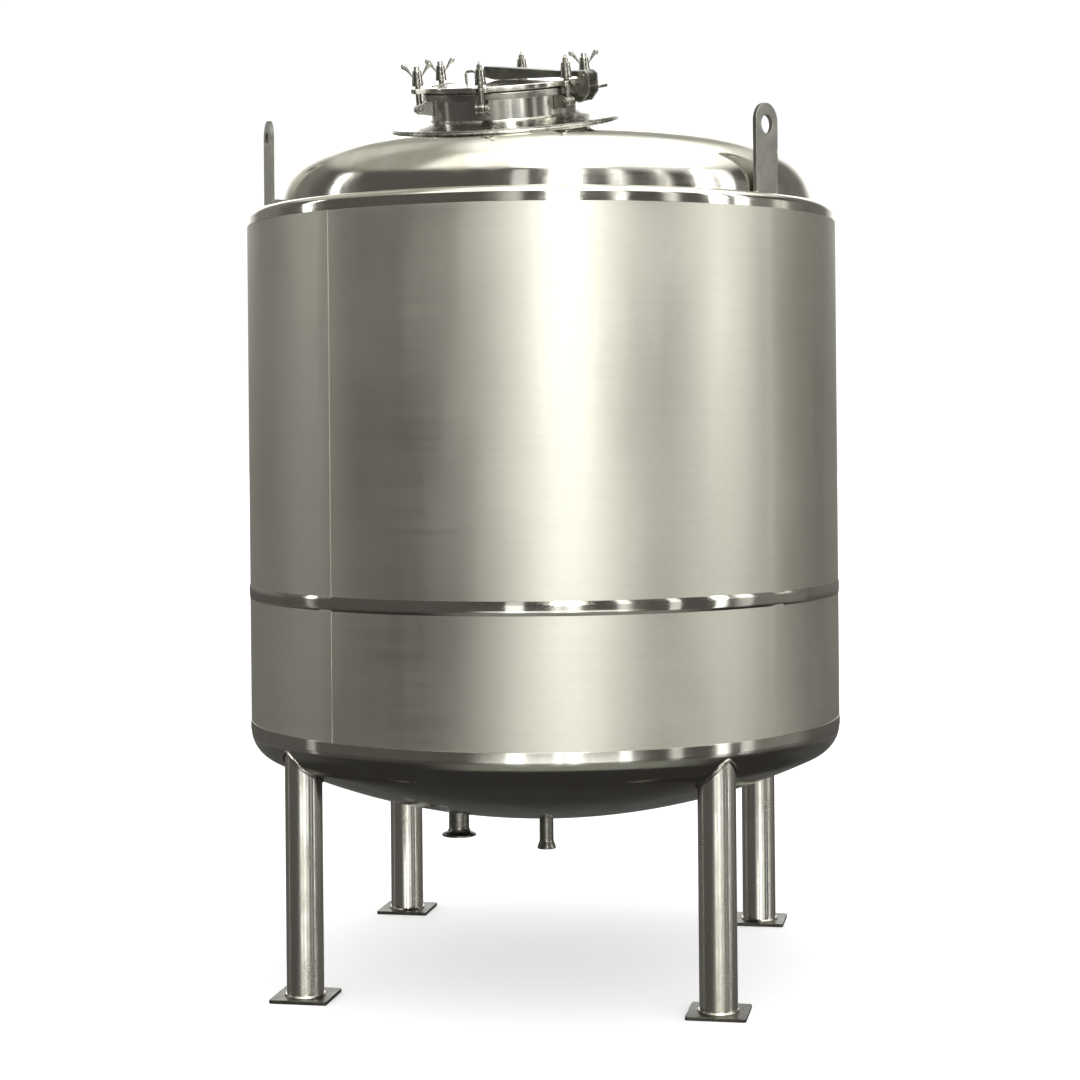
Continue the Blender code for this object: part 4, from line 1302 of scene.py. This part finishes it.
def dress_swing_bolts():
    """Threaded eye bolts, their pins and their wing nuts."""
    sizes, _, _ = settings()
    place = manway_frame()
    pitch = sizes.thread_pitch
    length = BOLT_TOP - PIVOT_HEIGHT

    def threads(radius, height, turn):
        if height < THREAD_START or height > length - THREAD_END:
            return radius
        phase = (height / pitch - turn / TURN) % 1
        return radius - THREAD_DEPTH * abs(2 * phase - 1)

    for number, angle in enumerate(bolt_angles()):
        name = f"swing_bolt_{number + 1}"
        pivot = place @ about_z(angle) @ Matrix.Translation((BOLT_CIRCLE, 0, PIVOT_HEIGHT))
        sideways = pivot @ ON_EDGE
        reach = CHEEK_SPACE / 2 + CHEEK_THICKNESS + PIN_END
        shape = Shape()
        shape.rod(PIN_RADIUS, -reach, reach, sideways, 0.0012)
        half = EYE_WIDTH / 2
        corners = [(0, -half, 0), (EYE_RADIUS, -half, 0.003)]
        corners += [(EYE_RADIUS, half, 0.003), (0, half, 0)]
        shape.lathe(rounded(corners, 4), 36, sideways)

        levels = [0.004, THREAD_START - 0.0005]
        count = int((length - THREAD_END - THREAD_START) / (pitch / 5))
        levels += [THREAD_START + i * pitch / 5 for i in range(count + 1)] + [length - 0.0012]
        outline = [(0, levels[0])] + [(SHANK_RADIUS, level) for level in levels]
        outline += [(SHANK_RADIUS - 0.0014, length), (0, length)]
        shape.lathe(outline, 20, pivot, wave=threads)

        down = pivot @ Matrix.Translation((0, 0, -PIVOT_HEIGHT))
        low, high = NUT_FOOT, NUT_FOOT + NUT_HEIGHT
        corners = [
            (SHANK_RADIUS - 0.001, low, 0), (NUT_RADIUS, low, 0.0015),
            (NUT_RADIUS, low + 0.006, 0.002), (NUT_RADIUS - 0.003, high - 0.004, 0.004),
            (NUT_RADIUS - 0.004, high, 0.002), (SHANK_RADIUS - 0.001, high, 0),
        ]
        shape.lathe(rounded(corners), 32, down)
        for side in (0, pi):
            upright = down @ about_z(WING_TURNS[number] + side) @ ON_EDGE
            shape.plate([wing_outline()], WING_THICKNESS, WING_THICKNESS * 0.46, upright)
        shape.done(name + "_set", bolt_steel(), [name], body=name)


def dress_hinge():
    """The bracket, its pin and the arm over the lid, with the small bail."""
    turned = manway_frame() @ about_z(HINGE_ANGLE)
    near = NECK_RADIUS + 2 * CLEAR
    nose = arc((HINGE_RADIUS, HINGE_HEIGHT), HINGE_NOSE, 0, pi, 18)
    below_rim = RIM_FOOT - RIM_GAP
    outline = [
        (near, HINGE_FOOT), (HINGE_RADIUS - 0.004, HINGE_FOOT),
        (HINGE_RADIUS + HINGE_NOSE, RIM_FOOT),
    ]
    outline += nose + [(HINGE_RADIUS - HINGE_NOSE, below_rim), (near, below_rim)]
    hole = arc((HINGE_RADIUS, HINGE_HEIGHT), HINGE_PIN_RADIUS + CLEAR, 0, TURN, 24)[:-1]
    shift = (HINGE_SPACE + HINGE_PLATE) / 2
    shape = Shape()
    for side in (-1, 1):
        upright = Matrix.Translation((0, side * shift, 0)) @ ON_EDGE
        shape.plate([outline, hole], HINGE_PLATE, 0.001, turned @ upright)
    corners = [
        (SHELF_START, -shift, 0), (STOP_REACH, -shift, 0.006),
        (STOP_REACH, shift, 0.006), (SHELF_START, shift, 0),
    ]
    lift = Matrix.Translation((0, 0, (SHELF_FOOT + SHELF_TOP) / 2))
    shape.plate([rounded(corners, 4)], SHELF_TOP - SHELF_FOOT, 0.001, turned @ lift)
    shape.done("hinge_bracket_plates", plain_steel(), ["hinge_bracket"])

    reach = HINGE_SPACE / 2 + HINGE_PLATE + PIN_HEAD
    sideways = turned @ Matrix.Translation((HINGE_RADIUS, 0, HINGE_HEIGHT)) @ ON_EDGE
    shape = Shape()
    shape.rod(HINGE_PIN_RADIUS, -reach, reach, sideways, 0.0015, 32)
    shape.done("hinge_pin_bar", bolt_steel(), ["hinge_pin"])

    eye = arc((HINGE_RADIUS, HINGE_HEIGHT), ARM_EYE, -pi / 2, pi / 2, 16)
    corners = [(ARM_START, ARM_TAIL_FOOT, 0.003), (ARM_START + ARM_TAIL_REACH, ARM_FOOT, 0.02)]
    corners += [(ARM_END, ARM_FOOT, 0.01)] + [(*point, 0) for point in eye]
    corners += [(ARM_SLOPE_END, ARM_SLOPE_TOP, 0.05), (ARM_START, ARM_TOP, 0.004)]
    outline = rounded(corners)
    shape = Shape()
    shape.plate([outline, hole], ARM_WIDTH, 0.0025, turned @ ON_EDGE)
    finish = finish_once("arm_steel", plain_finish, darker(settings()[1].plain_colour, 0.55), 0.34)
    shape.done("lid_arm_bar", finish, ["lid_arm"])

    near, far = HANDLE_AT + HANDLE_HALF, HANDLE_AT - HANDLE_HALF
    bend_at = lid_crown(-near) + HANDLE_RISE - HANDLE_BEND
    feet = [(x, lid_crown(-x)) for x in (near, far)]
    legs = [[(x, low + (bend_at - low) * i / 4) for i in range(4)] for x, low in feet]
    flat = legs[0] + arc((near - HANDLE_BEND, bend_at), HANDLE_BEND, 0, pi / 2, 8)
    flat += arc((far + HANDLE_BEND, bend_at), HANDLE_BEND, pi / 2, pi, 8) + legs[1][::-1]
    route = [turned @ Vector((x, 0, z)) for x, z in flat]
    sideways = turned.to_3x3() @ Vector((0, 1, 0))
    shape = Shape()
    shape.bead(route, [sideways] * len(route), HANDLE_WIRE, closed=False, around=16)
    shape.done("lid_handle_wire", bolt_steel(), ["lid_handle"])


def dress_inner_vessel():
    """The mill-finished inner shell and lower head keep their CAD shapes."""
    colour = darker(settings()[1].plain_colour, 1.2)
    finish = finish_once("mill_steel", plain_finish, colour, 0.34, 0.2, 0.6)
    for name in ("vessel_shell", "vessel_lower_head"):
        node = frame["nodes"][name]
        node.data.materials.clear()
        node.data.materials.append(finish)


# Studio


def height_at(elevation):
    """Height of a direction on a ball of radius 1, from its elevation in degrees."""
    return sin(radians(elevation))


class Sky(Nodes):
    """Builds the studio's light as a picture of soft panels round the tank."""

    def __init__(self):
        world = bpy.data.worlds.new("studio")
        bpy.context.scene.world = world
        world.use_nodes = True
        super().__init__(world.node_tree)
        self.nodes.clear()
        self.towards = self.add("ShaderNodeTexCoord").outputs["Generated"]
        split = self.add("ShaderNodeSeparateXYZ")
        self.feed(split.inputs[0], self.towards)
        self.height = split.outputs["Z"]
        flat = self.vectors("MULTIPLY", self.towards, (1, 1, 0))
        self.level = self.vectors("NORMALIZE", flat)

    def step(self, source, low, high, first=0.0, last=1.0):
        return self.ranged(source, low, high, first, last, "SMOOTHSTEP")

    def risen(self, low, high, first=0.0, last=1.0):
        """A smooth change between two elevations, in degrees."""
        return self.step(self.height, height_at(low), height_at(high), first, last)

    def times(self, first, second):
        return self.maths("MULTIPLY", first, second)

    def coloured(self, amount, colour):
        node = self.add("ShaderNodeVectorMath", operation="SCALE")
        self.feed(node.inputs[0], colour)
        self.feed(node.inputs["Scale"], amount)
        return node.outputs[0]

    def plus(self, first, second):
        return self.vectors("ADD", first, second)

    def facing(self, source, bearing, elevation=0):
        """How well a direction faces a bearing, from the camera's side to its right."""
        azimuth = radians(bearing) + CAMERA_AZIMUTH - pi / 2
        flat = cos(radians(elevation))
        target = (flat * cos(azimuth), flat * sin(azimuth), height_at(elevation))
        return self.vectors("DOT_PRODUCT", source, target, result="Value")

    def cap(self, bearing, elevation, half_angle, soft):
        """A mask that is 1 within an angle of one direction."""
        facing = self.facing(self.towards, bearing, elevation)
        return self.step(facing, cos(radians(half_angle + soft)), cos(radians(half_angle - soft)))

    def panel(self, bearing, half_width, low, high, soft, soft_up):
        """A mask that is 1 inside a panel between two bearings and two elevations."""
        facing = self.facing(self.level, bearing)
        inner = cos(radians(max(0, half_width - soft)))
        side = self.step(facing, cos(radians(half_width + soft)), inner)
        rise = self.risen(low - soft_up, low + soft_up)
        fall = self.risen(high - soft_up, high + soft_up, 1, 0)
        return self.times(side, self.times(rise, fall))


# The narrow windows' foot, split and top, degrees up, and how soft their edges are
WINDOW_LEVELS = (-14, 3, 28)
WINDOW_SOFT = (0.25, 1.0)

WINDOWS = [
    # bearing, half width, light above the split, light below it
    (-100.0, 2.2, 5.0, 0.4),
    (-11.0, 3.4, 0.8, 1.5),
    (4.7, 0.8, 20.5, 3.0),
    (10.5, 2.3, 23.5, 2.2),
    (29.8, 2.5, 2.0, 1.0),
    (50.0, 2.3, 1.5, 0.9),
    (70.0, 2.6, 12.5, 2.0),
    (82.0, 3.2, 3.2, 0.8),
]

SOFT_PANELS = [
    # bearing, half width, foot, top, light, softness, softness up, colour
    (8, 17, 34, 62, 8.6, 10, 4, (1.0, 1.0, 0.98)),
    (-38, 16, 34, 62, 1.4, 12, 4, (1.0, 1.0, 0.94)),
    (66, 16, 34, 62, 1.0, 12, 4, (1.0, 1.0, 0.96)),
    (125, 14, 34, 62, 0.5, 14, 4, (1.0, 0.98, 0.95)),
    (-128, 12, 34, 62, 0.3, 12, 4, (1.0, 1.0, 0.95)),
    (180, 24, 5, 34, 2.4, 15, 4, (1.0, 1.0, 0.98)),
    (148, 26, -6, 32, 0.08, 8, 3, (1.0, 0.98, 0.84)),
    (-146, 26, -2, 32, 0.12, 8, 3, (1.0, 1.0, 0.90)),
    (102, 14, -12, 14, 0.14, 8, 3, (1.0, 1.0, 0.92)),
    (104, 4, 3, 11, 0.7, 2, 2, (1.0, 1.0, 0.92)),
    (5, 22, -13, -8, 1.6, 14, 1.0, (1.0, 1.0, 0.98)),
    (12, 40, -34, -15, 0.30, 24, 2, (0.96, 1.0, 0.88)),
    (190, 70, -30, -12, 0.05, 24, 6, (1.0, 1.0, 0.96)),
]

# Overhead light: bearing and elevation of its middle, half angle, softness, light
OVERHEAD = (60, 68, 38, 10, 1.5)

# The room beyond the panels: elevations where its light changes, and the light before and after
UPPER_ROOM = (29, 35, 0, 0.36)
LOWER_ROOM = (-18, -12, 0.045, 0.11)
FLOOR_REACH = 60


def set_studio():
    """A pale floor, a pale backdrop, and the soft panels that show in the steel."""
    _, _, studio = settings()
    sky = Sky()
    light = sky.coloured(sky.risen(*UPPER_ROOM), (0.99, 1.0, 0.87))
    light = sky.plus(light, sky.coloured(sky.risen(*LOWER_ROOM), (1.0, 0.94, 0.89)))
    lamps = [(sky.cap(*OVERHEAD[:4]), OVERHEAD[4] * studio.panel_light, (1.0, 1.0, 0.98))]
    for bearing, half, low, high, bright, soft, soft_up, colour in SOFT_PANELS:
        mask = sky.panel(bearing, half, low, high, soft, soft_up)
        lamps.append((mask, bright * studio.panel_light, colour))
    foot, split, top = WINDOW_LEVELS
    for bearing, half, bright, dim in WINDOWS:
        for low, high, amount in ((foot, split, dim), (split, top, bright)):
            mask = sky.panel(bearing, half, low, high, *WINDOW_SOFT)
            lamps.append((mask, amount * studio.window_light, (1, 1, 0.98)))
    for mask, amount, colour in lamps:
        light = sky.plus(light, sky.coloured(sky.times(mask, amount), colour))

    glossy = sky.add("ShaderNodeBackground")
    sky.feed(glossy.inputs["Color"], light)
    pale = sky.add("ShaderNodeBackground")
    pale.inputs["Color"].default_value = (1, 1, 1, 1)
    pale.inputs["Strength"].default_value = studio.backdrop_light
    ray = sky.add("ShaderNodeLightPath")
    mix = sky.add("ShaderNodeMixShader")
    sky.feed(mix.inputs["Fac"], ray.outputs["Is Glossy Ray"])
    sky.feed(mix.inputs[1], pale.outputs[0])
    sky.feed(mix.inputs[2], glossy.outputs[0])
    out = sky.add("ShaderNodeOutputWorld")
    sky.feed(out.inputs["Surface"], mix.outputs[0])

    shape = bmesh.new()
    bmesh.ops.create_grid(shape, x_segments=1, y_segments=1, size=FLOOR_REACH)
    mesh = bpy.data.meshes.new("floor")
    shape.to_mesh(mesh)
    shape.free()
    floor = bpy.data.objects.new("floor", mesh)
    bpy.context.scene.collection.objects.link(floor)
    finish = Finish("floor_paint")
    tone = finish.noise((0.7, 0.7, 0.7), detail=3)
    colour = finish.mixed(tone, darker(studio.floor_colour, 0.985), studio.floor_colour)
    finish.colour_and_roughness(colour, finish.ranged(tone, 0.3, 0.7, 0.75, 0.9))
    finish.shader.inputs["Specular IOR Level"].default_value = 0.1
    finish.shader.inputs["Emission Color"].default_value = (1, 1, 1, 1)
    finish.shader.inputs["Emission Strength"].default_value = studio.floor_glow
    mesh.materials.append(finish.material)
    floor.visible_glossy = False
    bpy.context.scene.view_settings.view_transform = "Standard"


def set_camera():
    """The photograph's view."""
    data = bpy.data.cameras.new("photo_view")
    data.lens = CAMERA_LENS
    data.sensor_width = SENSOR_WIDTH
    data.shift_x, data.shift_y = CAMERA_SHIFT
    data.clip_start, data.clip_end = CAMERA_REACH
    camera = bpy.data.objects.new("photo_view", data)
    bpy.context.scene.collection.objects.link(camera)
    right = Vector((cos(CAMERA_ROLL), 0, -sin(CAMERA_ROLL)))
    up = Vector((sin(CAMERA_ROLL), 0, cos(CAMERA_ROLL)))
    back = Vector((0, -1, 0))
    axes = Matrix((right, up, back)).transposed().to_4x4()
    stand = Matrix.Translation((0, -CAMERA_DISTANCE, CAMERA_HEIGHT))
    camera.matrix_world = about_z(CAMERA_AZIMUTH) @ stand @ axes
    bpy.context.scene.camera = camera


# Buttons


class TankOperator:
    bl_options = {"REGISTER", "UNDO"}


class TANK_OT_cladding(TankOperator, Operator):
    """Bend the eight satin sheets round the tank"""

    bl_idname = "tank.cladding"
    bl_label = "Cladding sheets"

    def execute(self, context):
        dress_cladding()
        return {"FINISHED"}


class TANK_OT_waist_band(TankOperator, Operator):
    """Roll the polished band over the joint of the two courses"""

    bl_idname = "tank.waist_band"
    bl_label = "Waist band"

    def execute(self, context):
        dress_waist_band()
        return {"FINISHED"}


class TANK_OT_shoulder(TankOperator, Operator):
    """Turn the polished shoulder ring and lay its weld"""

    bl_idname = "tank.shoulder"
    bl_label = "Shoulder ring"

    def execute(self, context):
        dress_shoulder()
        return {"FINISHED"}


class TANK_OT_top_head(TankOperator, Operator):
    """Press the polished top head"""

    bl_idname = "tank.top_head"
    bl_label = "Top head"

    def execute(self, context):
        dress_top_head()
        return {"FINISHED"}


class TANK_OT_bottom(TankOperator, Operator):
    """Close the cladding below with its band and dish"""

    bl_idname = "tank.bottom"
    bl_label = "Clad bottom"

    def execute(self, context):
        dress_bottom()
        return {"FINISHED"}


class TANK_OT_nozzles(TankOperator, Operator):
    """Turn the drain and outlet stubs"""

    bl_idname = "tank.nozzles"
    bl_label = "Bottom nozzles"

    def execute(self, context):
        dress_nozzles()
        return {"FINISHED"}


class TANK_OT_legs(TankOperator, Operator):
    """Cope the pipe legs and weld them to their plates"""

    bl_idname = "tank.legs"
    bl_label = "Legs and feet"

    def execute(self, context):
        dress_legs()
        return {"FINISHED"}


class TANK_OT_lugs(TankOperator, Operator):
    """Cut the lifting lugs and weld them on"""

    bl_idname = "tank.lugs"
    bl_label = "Lifting lugs"

    def execute(self, context):
        dress_lugs()
        return {"FINISHED"}


class TANK_OT_manway(TankOperator, Operator):
    """Make the manway's pad, neck, rim, gasket and lid"""

    bl_idname = "tank.manway"
    bl_label = "Manway and lid"

    def execute(self, context):
        dress_manway_neck()
        dress_lid()
        return {"FINISHED"}


class TANK_OT_swing_bolts(TankOperator, Operator):
    """Make the six swing bolts with their wing nuts"""

    bl_idname = "tank.swing_bolts"
    bl_label = "Swing bolts"

    def execute(self, context):
        dress_swing_bolts()
        return {"FINISHED"}


class TANK_OT_hinge(TankOperator, Operator):
    """Make the lid's hinge, arm and bail"""

    bl_idname = "tank.hinge"
    bl_label = "Lid hinge"

    def execute(self, context):
        dress_hinge()
        return {"FINISHED"}


class TANK_OT_inner_vessel(TankOperator, Operator):
    """Give the inner vessel its mill finish"""

    bl_idname = "tank.inner_vessel"
    bl_label = "Inner vessel"

    def execute(self, context):
        dress_inner_vessel()
        return {"FINISHED"}


class TANK_OT_studio(TankOperator, Operator):
    """Set the floor, the light and the camera"""

    bl_idname = "tank.studio"
    bl_label = "Studio and camera"

    def execute(self, context):
        set_studio()
        set_camera()
        return {"FINISHED"}


OPERATORS = (
    TANK_OT_studio,
    TANK_OT_cladding,
    TANK_OT_waist_band,
    TANK_OT_shoulder,
    TANK_OT_top_head,
    TANK_OT_bottom,
    TANK_OT_nozzles,
    TANK_OT_legs,
    TANK_OT_lugs,
    TANK_OT_manway,
    TANK_OT_swing_bolts,
    TANK_OT_hinge,
    TANK_OT_inner_vessel,
)


class TANK_PT_panel(Panel):
    """Lists the tank's pieces, sizes and finishes"""

    bl_label = "Holding tank"
    bl_idname = "TANK_PT_panel"
    bl_space_type = "VIEW_3D"
    bl_region_type = "UI"
    bl_category = "Tank"

    def draw(self, context):
        for group in settings():
            box = self.layout.box()
            for key in group.bl_rna.properties.keys():
                if key not in ("rna_type", "name"):
                    box.prop(group, key)
        for operator in OPERATORS:
            self.layout.operator(operator.bl_idname)


GROUPS = (("tank_sizes", TankSizes), ("tank_finishes", TankFinishes), ("tank_studio", TankStudio))


def register():
    for key, group in GROUPS:
        bpy.utils.register_class(group)
        setattr(bpy.types.Scene, key, PointerProperty(type=group))
    for item in (*OPERATORS, TANK_PT_panel):
        bpy.utils.register_class(item)


def unregister():
    for item in reversed((*OPERATORS, TANK_PT_panel)):
        bpy.utils.unregister_class(item)
    for key, group in reversed(GROUPS):
        delattr(bpy.types.Scene, key)
        bpy.utils.unregister_class(group)


def main():
    for item in list(bpy.data.objects):
        if item.type in ("CAMERA", "LIGHT"):
            bpy.data.objects.remove(item, do_unlink=True)
    register()
    for operator in OPERATORS:
        group, name = operator.bl_idname.split(".")
        if getattr(getattr(bpy.ops, group), name)() != {"FINISHED"}:
            raise RuntimeError(operator.bl_label + " did not finish")


if __name__ == "__main__":
    main()
